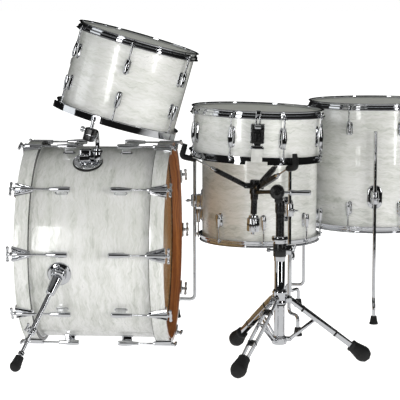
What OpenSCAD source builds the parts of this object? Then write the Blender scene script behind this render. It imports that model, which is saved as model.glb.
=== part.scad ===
// Acoustic drum kit: bass drum with a tom on its arm, snare on its stand, two floor toms.
// Millimetres. +X runs along the bass drum towards the drummer, +Z is up, the floor is z = 0.
// Azimuths are counted from the -Y side towards +X.

/* [Layout] */
// Bass drum centre, along X
kick_x = -414; // [-600:1:-200]
// Bass drum centre, along Y
kick_y = -158; // [-400:1:0]
// Rack tom centre, in front of the bass drum's centre
rack_reach_x = 98; // [40:1:110]
// Rack tom centre, to the near side of the bass drum's centre
rack_reach_y = 170; // [120:1:200]
// Rack tom centre height
rack_z = 782; // [770:1:860]
// Rack tom lean towards the drummer
rack_lean = 16; // [5:0.5:20]
// Snare centre, from the bass drum's centre along X
snare_reach_x = 461; // [455:1:520]
// Snare centre, to the near side of the bass drum's centre
snare_reach_y = 150; // [130:1:190]
// Snare centre height
snare_z = 633; // [600:1:680]
// Snare lean towards +X
snare_lean = 2; // [0:0.5:5]

/* [Drum sizes] */
// Bass drum shell diameter
kick_d = 559; // [500:1:570]
// Bass drum shell depth
kick_depth = 356; // [330:1:400]
// Bass drum hoop diameter over the outside
kick_hoop_d = 590; // [585:1:600]
// Rack tom diameter
rack_d = 330; // [310:1:340]
// Rack tom shell depth
rack_depth = 229; // [200:1:250]
// Snare diameter
snare_d = 356; // [340:1:360]
// Snare shell depth
snare_depth = 127; // [115:1:140]
// Small floor tom diameter
small_d = 356; // [340:1:360]
// Small floor tom shell depth
small_depth = 356; // [330:1:380]
// Large floor tom diameter
large_d = 406; // [390:1:415]
// Large floor tom shell depth
large_depth = 388; // [360:1:410]
// Shell wall thickness
wall = 7; // [5:0.5:9]

/* [Hardware] */
// Height of the small floor tom's middle
small_z = 444; // [420:1:480]
// Height of the large floor tom's middle
large_z = 475; // [450:1:500]
// Rod diameter of the floor tom legs
leg_d = 11; // [10:0.5:12]
// Stand tripod foot radius
tripod_r = 234; // [210:1:250]
// Stand inner tube diameter
height_tube_d = 23; // [20:0.5:25]
// Diameter of the rack tom's arm
arm_d = 12; // [10:0.5:13]

/* [Hidden] */
$fn = 64;
gap = 0.3;
slide_fit = 0.05;

kick_r = kick_d / 2;
kick_hoop_r = kick_hoop_d / 2;
kick_hoop_end = 210;
kick_rod_r = 301;
kick_lug_count = 10;
kick_lug_turn = -1.2;
kick_lug_z = 87;

rack_mid = [kick_x + rack_reach_x, kick_y - rack_reach_y, rack_z];
snare_mid = [kick_x + snare_reach_x, kick_y - snare_reach_y, snare_z];
stand_x = kick_x + 531;
stand_y = kick_y - 262;
small_x = kick_x + 448;
small_y = kick_y + 327;
large_x = kick_x + 806;
large_y = kick_y + 579;

// how far things stand off a drum's shell
rod_off = 12;
leg_off = 26;
hoop_rise = 9;
ear_drop = 12;
ear_top = 9.5;
washer_t = 2.5;
lug_bore_r = 3.3;

rack_lug_turn = 2.5;
rack_lugs = 6;
snare_lug_turn = -19.5;
small_lug_turn = 6.5;
large_lug_turn = 22.5;
eight_lugs = 8;
small_leg_turns = [29, 153, -95];
large_leg_turns = [0, 124, -102];
small_bracket_z = 374;
large_bracket_z = 387;
leg_foot_reach = 58;
leg_bend_r = 16;
leg_run_z = 60;
foot_h = 26;

pearl = [0.84, 0.85, 0.82];
chrome = [0.80, 0.81, 0.83];
black = [0.06, 0.06, 0.07];
skin = [0.93, 0.93, 0.91];
maple = [0.62, 0.34, 0.16];

// ---------- frames ----------

// the bass drum's axis along +Z, so its batter end is up
module at_kick() {
    translate([kick_x, kick_y, kick_hoop_r]) rotate([0, 90, 0]) children();
}

module at_rack() {
    translate(rack_mid) rotate([0, rack_lean, 0]) children();
}

module at_snare() {
    translate(snare_mid) rotate([0, snare_lean, 0]) children();
}

module at_small() {
    translate([small_x, small_y, small_z]) children();
}

module at_large() {
    translate([large_x, large_y, large_z]) children();
}

module at_stand() {
    translate([stand_x, stand_y, 0]) children();
}

// children are drawn at a shell's end, z = 0 on its edge and +Z outwards
module both_ends(depth) {
    for (flip = [0, 1])
        mirror([0, 0, flip]) translate([0, 0, depth / 2]) children();
}

module around(count, turn = 0) {
    for (i = [0:count - 1])
        rotate([0, 0, turn + 360 * i / count]) children();
}

module at_azimuths(turns) {
    for (turn = turns)
        rotate([0, 0, turn]) children();
}

// +Z of the children points along v
module aim(v) {
    rotate([0, acos(v[2] / norm(v)), atan2(v[1], v[0])]) children();
}

// children are extruded outwards along -Y from radius r
module outward(r, thick) {
    translate([0, -r, 0]) rotate([90, 0, 0]) linear_extrude(thick) children();
}

module stadium(width, height) {
    square([width, height - width], center = true);
    for (side = [-1, 1])
        translate([0, side * (height - width) / 2]) circle(d = width);
}

module ring(r_out, r_in, h) {
    difference() {
        cylinder(r = r_out, h = h);
        translate([0, 0, -1]) cylinder(r = r_in, h = h + 2);
    }
}

function rack_point(p) = rack_mid + [
    p[0] * cos(rack_lean) + p[2] * sin(rack_lean),
    p[1],
    p[2] * cos(rack_lean) - p[0] * sin(rack_lean)
];

function snare_point(p) = snare_mid + [
    p[0] * cos(snare_lean) + p[2] * sin(snare_lean),
    p[1],
    p[2] * cos(snare_lean) - p[0] * sin(snare_lean)
];

// low ridge where a straight rod meets a bend
module weld(d) {
    translate([0, 0, -0.5]) cylinder(d = d + 0.6, h = 1);
}

// a quarter bend that starts along +Z and ends along -Y
module quarter_bend(r, d) {
    translate([0, -r, 0]) rotate([90, 0, 90]) rotate_extrude(angle = 90) translate([r, 0]) circle(d = d);
    weld(d);
    translate([0, -r, r]) rotate([90, 0, 0]) weld(d);
}

// ---------- parts every drum has ----------

module shell(d, depth) {
    edge = 2;
    r = d / 2;
    rotate_extrude() polygon([
        [r - wall, wall - edge - depth / 2], [r - edge, -depth / 2], [r, edge / 2 - depth / 2],
        [r, depth / 2 - edge / 2], [r - edge, depth / 2], [r - wall, depth / 2 - wall + edge]
    ]);
}

// film, collar over the bearing edge, and the ring that the hoop presses on
module head(d) {
    film_t = 0.8;
    r = d / 2 + gap;
    rotate_extrude() {
        translate([0, gap]) square([r + film_t, film_t]);
        translate([r, -10]) square([film_t, 10 + gap]);
        translate([r, -10]) square([5, 6]);
    }
}

// pressed steel hoop with an ear at each tension rod
module flanged_hoop(d, lugs, turn) {
    r = d / 2;
    rod_r = r + rod_off;
    steel = 1.6;
    step_z = -3.7;
    skirt_r = r + 6;
    lip_r = r + 7;
    difference() {
        union() {
            rotate_extrude() {
                translate([r + 2, step_z]) square([steel, hoop_rise - step_z]);
                translate([r + 2, hoop_rise - steel]) square([lip_r - r - 2, steel]);
                translate([lip_r, hoop_rise - 2 * steel]) square([steel, 2 * steel]);
                translate([r + 2, step_z]) square([4 + steel, steel]);
                translate([skirt_r, -ear_drop]) square([steel, ear_drop + step_z + steel]);
                translate([skirt_r, -ear_drop]) square([6, steel]);
            }
            difference() {
                around(lugs, turn) translate([0, -rod_r, -ear_drop - gap])
                    cylinder(r = 8, h = ear_drop + gap - ear_top);
                translate([0, 0, -ear_drop - 1]) cylinder(r = skirt_r + steel / 2, h = ear_drop);
            }
        }
        around(lugs, turn) translate([0, -rod_r, -ear_drop - 1]) cylinder(r = 3.2, h = ear_drop);
    }
}

// tension rod for one lug: z = 0 at the shell's edge
module key_rod(d, length) {
    seat = washer_t + gap - ear_top;
    translate([0, -d / 2 - rod_off, seat]) {
        translate([0, 0, -length]) cylinder(r = 2.5, h = length + 1);
        cylinder(r = 4, h = 2.5);
        cylinder(r = 3.6, h = 8.5, $fn = 4);
    }
}

module washer(d) {
    translate([0, -d / 2 - rod_off, gap / 2 - ear_top]) ring(4.1, 2.8, washer_t);
}

// cast lug on the shell: barrel round the rod, foot plate behind it, a bore for the rod at each mouth
module lug(d, off, height, barrel, mouths) {
    r = d / 2;
    difference() {
        union() {
            translate([0, -r - off, 0]) rotate_extrude() intersection() {
                translate([-3 * height, 0]) circle(r = 3 * height + barrel, $fn = 256);
                translate([0, -height / 2]) square([barrel, height]);
            }
            outward(r - 4, off + 4) stadium(barrel * 1.2, height * 0.8);
            outward(r - 4, 7) stadium(barrel * 2, height * 1.1);
        }
        cylinder(r = r + gap, h = 2 * height, center = true, $fn = 256);
        for (mouth = mouths)
            translate([0, -r - off, mouth * height / 2]) cylinder(r = lug_bore_r, h = height * 0.8, center = true);
    }
}

module end_lugs(d, depth, lugs, turn) {
    both_ends(depth) around(lugs, turn) translate([0, 0, -67]) lug(d, rod_off, 42, 8.5, [1]);
}

module end_rods(d, depth, lugs, turn) {
    both_ends(depth) around(lugs, turn) {
        key_rod(d, 50);
        washer(d);
    }
}

// ---------- bass drum ----------

module kick_shell() {
    color(pearl) at_kick() shell(kick_d, kick_depth);
}

// wooden hoop, stepped inside where it presses on the head's ring
module kick_hoop() {
    step = kick_depth / 2 - 4 + gap;
    translate([0, 0, step]) ring(kick_hoop_r, kick_r + 2, kick_hoop_end - step);
    translate([0, 0, step - 5]) ring(kick_hoop_r, kick_r + 7, 5);
}

module kick_front_hoop() {
    color(pearl) at_kick() mirror([0, 0, 1]) kick_hoop();
}

module kick_batter_hoop() {
    color(pearl) at_kick() kick_hoop();
}

module kick_heads() {
    color(skin) at_kick() both_ends(kick_depth) head(kick_d);
}

module kick_lugs() {
    color(chrome) at_kick() both_ends(kick_depth) around(kick_lug_count, kick_lug_turn)
        translate([0, 0, kick_lug_z - kick_depth / 2]) lug(kick_d, kick_rod_r - kick_r, 60, 8.4, [1]);
}

// fan-shaped claw hooked over the hoop, with three ribs that meet at its inner end
module claw() {
    face = kick_hoop_end + gap;
    inner = kick_depth / 2 - 16;
    plate = 5;
    difference() {
        union() {
            outward(kick_hoop_r + gap, plate) polygon([
                [-22, face + 4], [22, face + 4], [22, face - 8], [9, inner], [-9, inner], [-22, face - 8]
            ]);
            outward(kick_hoop_r - 10, 12 + gap) translate([0, face + 2]) square([44, 4], center = true);
            translate([0, -kick_rod_r, inner]) cylinder(r = 5.6, h = face + 5 - inner);
            for (side = [-1, 1])
                translate([side * 7, -kick_rod_r + 1.6, inner + 3]) rotate([0, side * 13, 0])
                    cylinder(r = 2.9, h = face - inner - 1);
        }
        translate([0, -kick_rod_r, inner - 1]) cylinder(r = 3.4, h = face);
    }
}

module kick_claws() {
    color(chrome) at_kick() for (flip = [0, 1])
        mirror([0, 0, flip]) around(kick_lug_count, kick_lug_turn) claw();
}

// the two lowest handles lie level, so that they clear the floor
module kick_t_rods() {
    tip = kick_hoop_end + 6;
    start = kick_lug_z + 8;
    color(chrome) at_kick() for (flip = [0, 1], i = [0:kick_lug_count - 1]) {
        turn = kick_lug_turn + 360 * i / kick_lug_count;
        level = abs(turn - 90) < 30 ? 90 - turn : 0;
        mirror([0, 0, flip]) rotate([0, 0, turn]) translate([0, -kick_rod_r, 0]) {
            translate([0, 0, start]) cylinder(r = 3, h = tip - start);
            translate([0, 0, tip - gap]) cylinder(r = 5.4, h = 7);
            rotate([0, 0, level]) translate([0, 0, tip + 9]) rotate([0, 90, 0]) {
                cylinder(r = 4.4, h = 36, center = true);
                for (end = [-18, 18])
                    translate([0, 0, end]) sphere(r = 4.4);
            }
        }
    }
}

// ---------- bass drum spurs ----------

spur_turn = 10.5;
spur_z = -84;
spur_seat_r = kick_r + 27;
spur_knuckle = [
    kick_x + spur_z,
    kick_y - spur_seat_r * cos(spur_turn),
    kick_hoop_r - spur_seat_r * sin(spur_turn)
];
spur_ball_r = 16;
spur_foot = [kick_x - 180, kick_y - 440, spur_ball_r];
spur_v = spur_foot - spur_knuckle;
spur_len = norm(spur_v);

// draws a near-side piece, and its mirror image on the far side when asked
module spur_side(far) {
    translate([0, kick_y, 0]) mirror([0, far ? 1 : 0, 0]) translate([0, -kick_y, 0]) children();
}

module on_spur_seat() {
    at_kick() rotate([0, 0, spur_turn]) translate([0, 0, spur_z]) children();
}

module spur_bracket() {
    on_spur_seat() difference() {
        union() {
            outward(kick_r - 3, 10) circle(r = 34);
            outward(kick_r, 20 - gap) circle(r = 21);
        }
        cylinder(r = kick_r + gap, h = 100, center = true, $fn = 256);
        outward(kick_r, 40) circle(r = 6 + slide_fit);
        for (side = [-1, 1])
            translate([side * 26, 0, 0]) outward(kick_r, 12) circle(r = 3);
    }
}

module kick_spur_brackets() {
    color(chrome) for (far = [false, true])
        spur_side(far) spur_bracket();
}

module spur_tube() {
    on_spur_seat() {
        outward(kick_r + 20, 14) circle(r = 20);
        outward(kick_r + 4, 20) circle(r = 6);
    }
    translate(spur_knuckle) aim(spur_v) difference() {
        union() {
            translate([0, 0, 6]) cylinder(r1 = 14, r2 = 11, h = 50);
            cylinder(r = 8, h = 180);
            translate([0, 0, 162]) cylinder(r = 11, h = 20);
            translate([0, 9, 172]) rotate([-90, 0, 0]) cylinder(r = 4, h = 12);
            translate([0, 24, 172]) cube([26, 12, 4], center = true);
        }
        translate([0, 0, 62]) cylinder(r = 5 + slide_fit, h = 200);
    }
}

module near_spur_tube() {
    color(chrome) spur_tube();
}

module far_spur_tube() {
    color(chrome) spur_side(true) spur_tube();
}

module spur_rod() {
    translate(spur_knuckle) aim(spur_v) {
        translate([0, 0, 112]) cylinder(r = 5, h = spur_len - 124);
        translate([0, 0, spur_len - 42]) cylinder(r = 9, h = 8);
    }
    translate(spur_foot) aim(-spur_v) difference() {
        union() {
            sphere(r = spur_ball_r);
            cylinder(r1 = spur_ball_r - 0.6, r2 = 12, h = 30);
        }
        translate([0, 0, 11]) cylinder(r = 5 + gap, h = 30);
    }
}

module near_spur_rod() {
    color(chrome) spur_rod();
}

module far_spur_rod() {
    color(chrome) spur_side(true) spur_rod();
}

// ---------- tom mount ----------

mount_turn = -62;
mount_z = -22;
post_x = kick_x + 9;
post_y = kick_y - 152;
post_z = 552;
bracket_turn = -12;
bracket_r = rack_d / 2 + 24.5;
post_drop = rack_depth / 2 + hoop_rise + 16;
clamp_h = 36;
tilt_point = rack_point([
    bracket_r * sin(bracket_turn), -bracket_r * cos(bracket_turn), -post_drop - clamp_h + 12
]);
arm_turn = atan2(tilt_point[0] - post_x, post_y - tilt_point[1]);
arm_reach = norm([tilt_point[0] - post_x, tilt_point[1] - post_y]);
arm_bend_r = 45;

module mount_gasket() {
    color(black) at_kick() rotate([0, 0, mount_turn]) translate([0, 0, mount_z]) difference() {
        outward(kick_r - 4, 7) circle(r = 43);
        cylinder(r = kick_r + gap, h = 120, center = true, $fn = 256);
    }
}

// flange on the bass drum with the receiver that holds the arm's upright
module mount_base() {
    color(chrome) {
        difference() {
            union() {
                at_kick() rotate([0, 0, mount_turn]) translate([0, 0, mount_z]) {
                    outward(kick_r + 3 + gap, 5) circle(r = 41);
                    outward(kick_r + 3 + gap, 10) circle(r = 26);
                }
                translate([post_x - 36, post_y + 8, post_z + 12]) cube([34, 32, 34], center = true);
                translate([post_x, post_y, post_z]) cylinder(r = 13, h = 32);
                translate([post_x - 14, post_y + 4, post_z + 14]) cube([26, 16, 24], center = true);
            }
            translate([post_x, post_y, post_z - 1]) cylinder(d = arm_d + 2 * slide_fit, h = 60);
        }
        translate([post_x - 36, post_y - 8 - gap, post_z + 14]) rotate([90, 0, 0]) {
            cylinder(r = 4, h = 12);
            translate([0, 0, 14]) cube([28, 9, 5], center = true);
        }
    }
}

// upright, quarter bend and level run to the tilter
module tom_arm() {
    bend_z = tilt_point[2] - arm_bend_r;
    color(chrome) translate([post_x, post_y, 0]) rotate([0, 0, arm_turn]) {
        translate([0, 0, post_z - 6]) cylinder(d = arm_d, h = bend_z - post_z + 6);
        translate([0, 0, bend_z]) quarter_bend(arm_bend_r, arm_d);
        translate([0, -arm_bend_r, tilt_point[2]]) rotate([90, 0, 0])
            cylinder(d = arm_d, h = arm_reach - arm_bend_r + 10);
    }
}

// clamp that turns on the arm's end and holds the bracket's post
module tom_tilter() {
    color(black) difference() {
        union() {
            at_rack() rotate([0, 0, bracket_turn]) translate([0, -bracket_r, -post_drop - clamp_h]) {
                translate([-14, -14, 0]) cube([28, 28, clamp_h]);
                translate([14, 0, 12]) rotate([0, 90, 0]) cylinder(r = 7, h = 9);
                translate([-22, 0, clamp_h - 9]) rotate([0, 90, 0]) cylinder(r = 5, h = 10);
                translate([-28, 0, clamp_h - 9]) rotate([0, 90, 0]) cylinder(r = 8, h = 7);
            }
        }
        translate(tilt_point) rotate([0, 0, arm_turn]) translate([0, 40, 0]) rotate([90, 0, 0])
            cylinder(d = arm_d + 2 * slide_fit, h = 51);
        at_rack() rotate([0, 0, bracket_turn]) translate([0, -bracket_r, -post_drop - clamp_h + 21])
            cylinder(r = 5 + slide_fit, h = clamp_h);
    }
}

// ---------- rack tom ----------

module rack_shell() {
    color(pearl) at_rack() shell(rack_d, rack_depth);
}

module rack_hoops() {
    color(chrome) at_rack() both_ends(rack_depth) flanged_hoop(rack_d, rack_lugs, rack_lug_turn);
}

module rack_heads() {
    color(skin) at_rack() both_ends(rack_depth) head(rack_d);
}

module rack_lugs() {
    color(chrome) at_rack() end_lugs(rack_d, rack_depth, rack_lugs, rack_lug_turn);
}

// the three lower rods on the near side clamp the bracket's tabs in place of washers
rack_tab_turns = [rack_lug_turn - 60, rack_lug_turn, rack_lug_turn + 60];
rack_free_turns = [rack_lug_turn + 120, rack_lug_turn + 180, rack_lug_turn + 240];

module rack_rods() {
    color(chrome) at_rack() {
        both_ends(rack_depth) around(rack_lugs, rack_lug_turn) key_rod(rack_d, 50);
        translate([0, 0, rack_depth / 2]) around(rack_lugs, rack_lug_turn) washer(rack_d);
        mirror([0, 0, 1]) translate([0, 0, rack_depth / 2]) at_azimuths(rack_free_turns) washer(rack_d);
    }
}

// bar that follows the bottom hoop, with tabs under three rods and the post for the tilter
module rack_bracket() {
    bar_r = rack_d / 2 + 22.5;
    tab_z = -rack_depth / 2 + ear_top - gap / 2 - washer_t;
    bar_z = tab_z - 14;
    sweep = 132;
    color(chrome) at_rack() {
        difference() {
            union() {
                rotate([0, 0, rack_lug_turn - 90 - sweep / 2]) translate([0, 0, bar_z])
                    rotate_extrude(angle = sweep) translate([bar_r, 0]) square([4, 18]);
                at_azimuths(rack_tab_turns) translate([-8, -bar_r - 1, tab_z]) cube([16, 15, washer_t]);
            }
            at_azimuths(rack_tab_turns) translate([0, -rack_d / 2 - rod_off, tab_z - 1])
                cylinder(r = 2.8, h = washer_t + 2);
        }
        rotate([0, 0, bracket_turn]) translate([0, -bracket_r, 0])
            translate([0, 0, -post_drop - 12]) cylinder(r = 5, h = post_drop + 12 + bar_z + 9);
        rotate([0, 0, bracket_turn]) translate([0, -bracket_r, bar_z + 2]) cylinder(r = 8, h = 14);
    }
}

// ---------- snare drum ----------

strainer_turn = 3;
gate_w = 60;

module snare_shell() {
    color(pearl) at_snare() shell(snare_d, snare_depth);
}

module snare_batter_hoop() {
    color(chrome) at_snare() translate([0, 0, snare_depth / 2])
        flanged_hoop(snare_d, eight_lugs, snare_lug_turn);
}

// the lower hoop has a gate on both sides for the wires' straps
module snare_side_hoop() {
    gate_floor = snare_depth / 2 + 0.2;
    color(chrome) at_snare() mirror([0, 0, 1]) difference() {
        translate([0, 0, snare_depth / 2]) flanged_hoop(snare_d, eight_lugs, snare_lug_turn);
        for (turn = [strainer_turn, 180 + strainer_turn])
            rotate([0, 0, turn]) translate([-gate_w / 2, -snare_d, gate_floor])
                cube([gate_w, snare_d, 20]);
    }
}

module snare_heads() {
    color(skin) at_snare() both_ends(snare_depth) head(snare_d);
}

module snare_lugs() {
    color(chrome) at_snare() around(eight_lugs, snare_lug_turn) lug(snare_d, rod_off, 58, 8.5, [-1, 1]);
}

module snare_rods() {
    color(chrome) at_snare() both_ends(snare_depth) around(eight_lugs, snare_lug_turn) {
        key_rod(snare_d, 38);
        washer(snare_d);
    }
}

// ---------- snare strainer ----------

lever_z = 32;
lever_r = snare_d / 2 + 19;

module on_strainer() {
    at_snare() rotate([0, 0, strainer_turn]) children();
}

module strainer() {
    color(black) on_strainer() {
        difference() {
            union() {
                outward(snare_d / 2 - 3, 6) translate([0, 12]) square([38, 54], center = true);
                outward(snare_d / 2, 22) translate([0, 5.5]) square([32, 37], center = true);
                for (side = [-1, 1])
                    translate([side * 12, 0, 0]) outward(snare_d / 2, 26) translate([0, 28])
                        square([7, 20], center = true);
            }
            cylinder(r = snare_d / 2 + gap, h = 120, center = true, $fn = 256);
            translate([0, -lever_r, lever_z]) rotate([0, 90, 0])
                cylinder(r = 3 + slide_fit, h = 60, center = true);
        }
    }
    // strap clamp below the body
    color(chrome) on_strainer() {
        outward(snare_d / 2 + 16.2, 7) translate([0, -24]) square([36, 9], center = true);
        outward(snare_d / 2 + 6, 8) translate([0, -17]) square([20, 7.4], center = true);
    }
}

module strainer_lever() {
    color(chrome) on_strainer() translate([0, -lever_r, lever_z]) {
        rotate([0, 90, 0]) cylinder(r = 3, h = 30, center = true);
        rotate([0, 90, 0]) cylinder(r = 6.5, h = 16.4, center = true);
        for (side = [-1, 1])
            translate([side * 5 - 2, -2, 0]) cube([4, 4, 38]);
        translate([-7, -3, 32]) cube([14, 6, 12]);
    }
}

module snare_butt() {
    color(chrome) at_snare() rotate([0, 0, 180 + strainer_turn]) {
        difference() {
            outward(snare_d / 2 - 3, 15) translate([0, -12]) square([30, 40], center = true);
            cylinder(r = snare_d / 2 + gap, h = 120, center = true, $fn = 256);
        }
        outward(snare_d / 2 + 16.2, 4) translate([0, -26]) square([36, 9], center = true);
    }
}

// twenty coiled wires between two plates, and the strap at each end
module snare_wires() {
    wires = 20;
    pitch = 2.4;
    wire_z = -snare_depth / 2 - 2.4;
    plate_x = 150;
    strap_r = snare_d / 2 + 15.2;
    color(chrome) at_snare() rotate([0, 0, strainer_turn + 90]) {
        for (i = [0:wires - 1])
            translate([0, pitch * (i - (wires - 1) / 2), wire_z]) rotate([0, 90, 0])
                cylinder(r = 0.9, h = 2 * plate_x, center = true, $fn = 16);
        for (side = [-1, 1]) {
            translate([side * plate_x, 0, wire_z]) cube([14, 52, 2], center = true);
            translate([side * (plate_x + strap_r) / 2, 0, wire_z])
                cube([strap_r - plate_x, 30, 0.8], center = true);
            translate([side * strap_r, 0, (wire_z - 26) / 2]) cube([0.8, 30, -wire_z - 26 + 0.8], center = true);
        }
    }
}

// ---------- snare stand ----------

tube_r = height_tube_d / 2;
base_r = 15;
base_bottom = 54;
base_top = 286;
collar_z = 166;
collar_h = 36;
leg_turns = [94, -26, 214];
leg_root = [29, 179];
boot_r = 23;
boot_mid = [tripod_r, boot_r];
leg_aim = (boot_mid - leg_root) / norm(boot_mid - leg_root);
leg_slope = -atan2(leg_aim[1], leg_aim[0]);
brace_root = [29, 66];
brace_at = 0.40;
leg_tip = boot_mid - 30 * leg_aim;
brace_tip = leg_root + brace_at * (leg_tip - leg_root);

// flat bar between two points of the leg's plane
module flat_bar(a, b, width) {
    v = b - a;
    translate(a) rotate(atan2(v[1], v[0])) {
        translate([0, -width / 2]) square([norm(v), width]);
        circle(d = width);
        translate([norm(v), 0]) circle(d = width);
    }
}

module at_legs() {
    at_stand() at_azimuths(leg_turns) rotate([0, 0, -90]) children();
}

// pin across a leg's plane
module cross_pin(p, r, length) {
    translate([p[0], 0, p[1]]) rotate([90, 0, 0]) cylinder(r = r, h = length, center = true);
}

// a flat shape in a leg's plane, x outwards and y up
module leg_profile(thick, side = 0) {
    rotate([90, 0, 0]) translate([0, 0, side - thick / 2]) linear_extrude(thick) children();
}

module stand_base() {
    color(chrome) {
        at_stand() {
            translate([0, 0, base_bottom]) ring(base_r, tube_r + 1, base_top - base_bottom);
            translate([0, 0, base_bottom - 2]) cylinder(r = 21, h = 22);
        }
        at_legs() {
            leg_profile(8) flat_bar([16, brace_root[1]], brace_root, 14);
            cross_pin(brace_root, 3, 20);
        }
    }
}

module leg_collar() {
    color(chrome) {
        difference() {
            union() {
                at_stand() translate([0, 0, collar_z]) cylinder(r = 21, h = collar_h);
                at_legs() {
                    leg_profile(12) flat_bar([18, leg_root[1]], leg_root, 18);
                    cross_pin(leg_root, 3, 22);
                }
            }
            at_stand() translate([0, 0, collar_z - 1]) cylinder(r = base_r + gap, h = collar_h + 2);
        }
    }
}

// each leg is a pair of strips that close on the boot
module stand_legs() {
    color(chrome) at_legs() for (side = [-1, 1]) {
        leg_profile(3, side * 7.8) difference() {
            flat_bar(leg_root, leg_tip, 15);
            for (p = [leg_root, brace_tip])
                translate(p) circle(r = 3 + gap);
        }
    }
    color(black) at_legs() for (share = [0.2, 0.7])
        leg_profile(12) translate(leg_root + share * (leg_tip - leg_root)) rotate(-leg_slope)
            square([16, 11], center = true);
}

module stand_braces() {
    color(chrome) at_legs() {
        for (side = [-1, 1])
            leg_profile(1.6, side * 5.15) difference() {
                flat_bar(brace_root, brace_tip, 9);
                translate(brace_root) circle(r = 3 + gap);
            }
        cross_pin(brace_tip, 3, 21);
    }
}

// rubber boot along the leg, its lowest point on the floor
module stand_feet() {
    color(black) at_legs() difference() {
        translate([boot_mid[0], 0, boot_mid[1]]) {
            sphere(r = boot_r);
            rotate([0, leg_slope - 90, 0]) cylinder(r1 = boot_r, r2 = 16, h = 44);
        }
        for (side = [-1, 1])
            leg_profile(3 + 2 * gap, side * 7.8) flat_bar(leg_root, leg_tip, 15 + 2 * gap);
    }
}

// casting that grips the inner tube, with its wing bolt and its lever
module height_clamp() {
    color(chrome) at_stand() {
        difference() {
            union() {
                translate([0, 0, base_top + gap]) cylinder(r1 = 16, r2 = 19, h = 58);
                translate([0, 0, base_top + 58]) cylinder(r = 22, h = 12);
                translate([0, -6, base_top + 18]) cube([34, 12, 28]);
            }
            translate([0, 0, base_top - 1]) cylinder(r = tube_r + slide_fit, h = 80);
        }
        translate([-18 - gap, 0, base_top + 30]) rotate([0, -90, 0]) {
            cylinder(r = 4, h = 8);
            translate([0, 0, 8]) cylinder(r = 7, h = 10);
        }
        translate([36, -7 - gap, base_top + 8]) rotate([90, 0, 0]) linear_extrude(6) flat_bar([0, 0], [6, 34], 8);
    }
}

// ---------- stand head and basket ----------

tilt_x = stand_x - 8;
tilt_z = 478;
ratchet_r = 20;
basket_floor = -175;
hub_h = 40;
hub_r = 14.5;
arm_pivot = [25, -152];
nut_z = -282;
nut_h = 40;

module height_tube() {
    color(black) {
        translate([stand_x, stand_y, 150]) cylinder(r = tube_r, h = tilt_z - 150 - ratchet_r - 3);
        translate([stand_x - 15, stand_y - 13, tilt_z - 28]) cube([22, 12, 30]);
        translate([tilt_x, stand_y - 1, tilt_z]) rotate([90, 0, 0]) cylinder(r = ratchet_r, h = 12);
        translate([tilt_x, stand_y + 14, tilt_z]) rotate([90, 0, 0]) cylinder(r = 5, h = 20);
    }
}

// half of the ratchet, its handle, the neck, and the yoke that carries the arms
module basket_hub() {
    hub = snare_point([0, 0, basket_floor + 5]);
    side = [tilt_x, stand_y + 6, tilt_z];
    color(black) {
        difference() {
            union() {
                translate([tilt_x, stand_y + 12, tilt_z]) rotate([90, 0, 0]) cylinder(r = ratchet_r, h = 12 - gap);
                translate(side) aim(hub - side) translate([0, 0, norm(hub - side) / 2])
                    cube([14, 12, norm(hub - side)], center = true);
                at_snare() translate([0, 0, basket_floor]) cylinder(r = hub_r, h = hub_h);
                at_snare() at_azimuths(basket_turns) for (w = [-1, 1])
                    translate([w * 9 - 2.5, -arm_pivot[0] - 6, arm_pivot[1] - 7])
                        cube([5, arm_pivot[0] + 3, 14]);
            }
            translate([tilt_x, stand_y + 40, tilt_z]) rotate([90, 0, 0]) cylinder(r = 5 + slide_fit, h = 80);
        }
    }
    color(chrome) at_snare() {
        at_azimuths(basket_turns) translate([0, -arm_pivot[0], arm_pivot[1]]) rotate([0, 90, 0])
            cylinder(r = 3, h = 22, center = true);
        translate([0, 0, nut_z - 8]) cylinder(r = 5, h = basket_floor - nut_z + 9);
        translate([0, 0, nut_z + nut_h + 10]) cylinder(r = 9, h = basket_floor - nut_z - nut_h - 10);
    }
    color(chrome) translate([tilt_x + 18, stand_y + 6, tilt_z - 2]) rotate([0, 90, 0]) {
        cylinder(r = 4, h = 18);
        translate([0, 0, 17]) cylinder(r = 8, h = 58);
    }
}

basket_turns = [-86, 34, 154];

// arm, thin rod and rubber tip in the plane x outwards, z up
module basket_arm(turn) {
    rise = [110, -112];
    sleeve = [168, -83.6];
    corner = [209, -75.6];
    finger = [200, -40];
    rubber_r = 7;
    color(black) at_snare() rotate([0, 0, turn - 90]) {
        difference() {
            leg_profile(12) flat_bar(arm_pivot, rise, 14);
            cross_pin(arm_pivot, 3 + slide_fit, 30);
        }
        leg_profile(5) flat_bar(rise, sleeve, 5);
        for (span = [[sleeve, corner], [corner, finger]]) {
            v = span[1] - span[0];
            translate([span[0][0], 0, span[0][1]]) aim([v[0], 0, v[1]]) cylinder(r = rubber_r, h = norm(v));
        }
        translate([corner[0], 0, corner[1]]) sphere(r = rubber_r + 0.8);
    }
}

module arm_left() {
    basket_arm(basket_turns[0]);
}

module arm_front() {
    basket_arm(basket_turns[1]);
}

module arm_rear() {
    basket_arm(basket_turns[2]);
}

module basket_nut() {
    color(chrome) at_snare() translate([0, 0, nut_z]) difference() {
        union() {
            cylinder(r = 18, h = nut_h);
            translate([0, 0, nut_h - 1]) cylinder(r = 14, h = 8);
        }
        translate([0, 0, -1]) cylinder(r = 5 + slide_fit, h = nut_h + 20);
    }
}

// ---------- floor toms ----------

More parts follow.
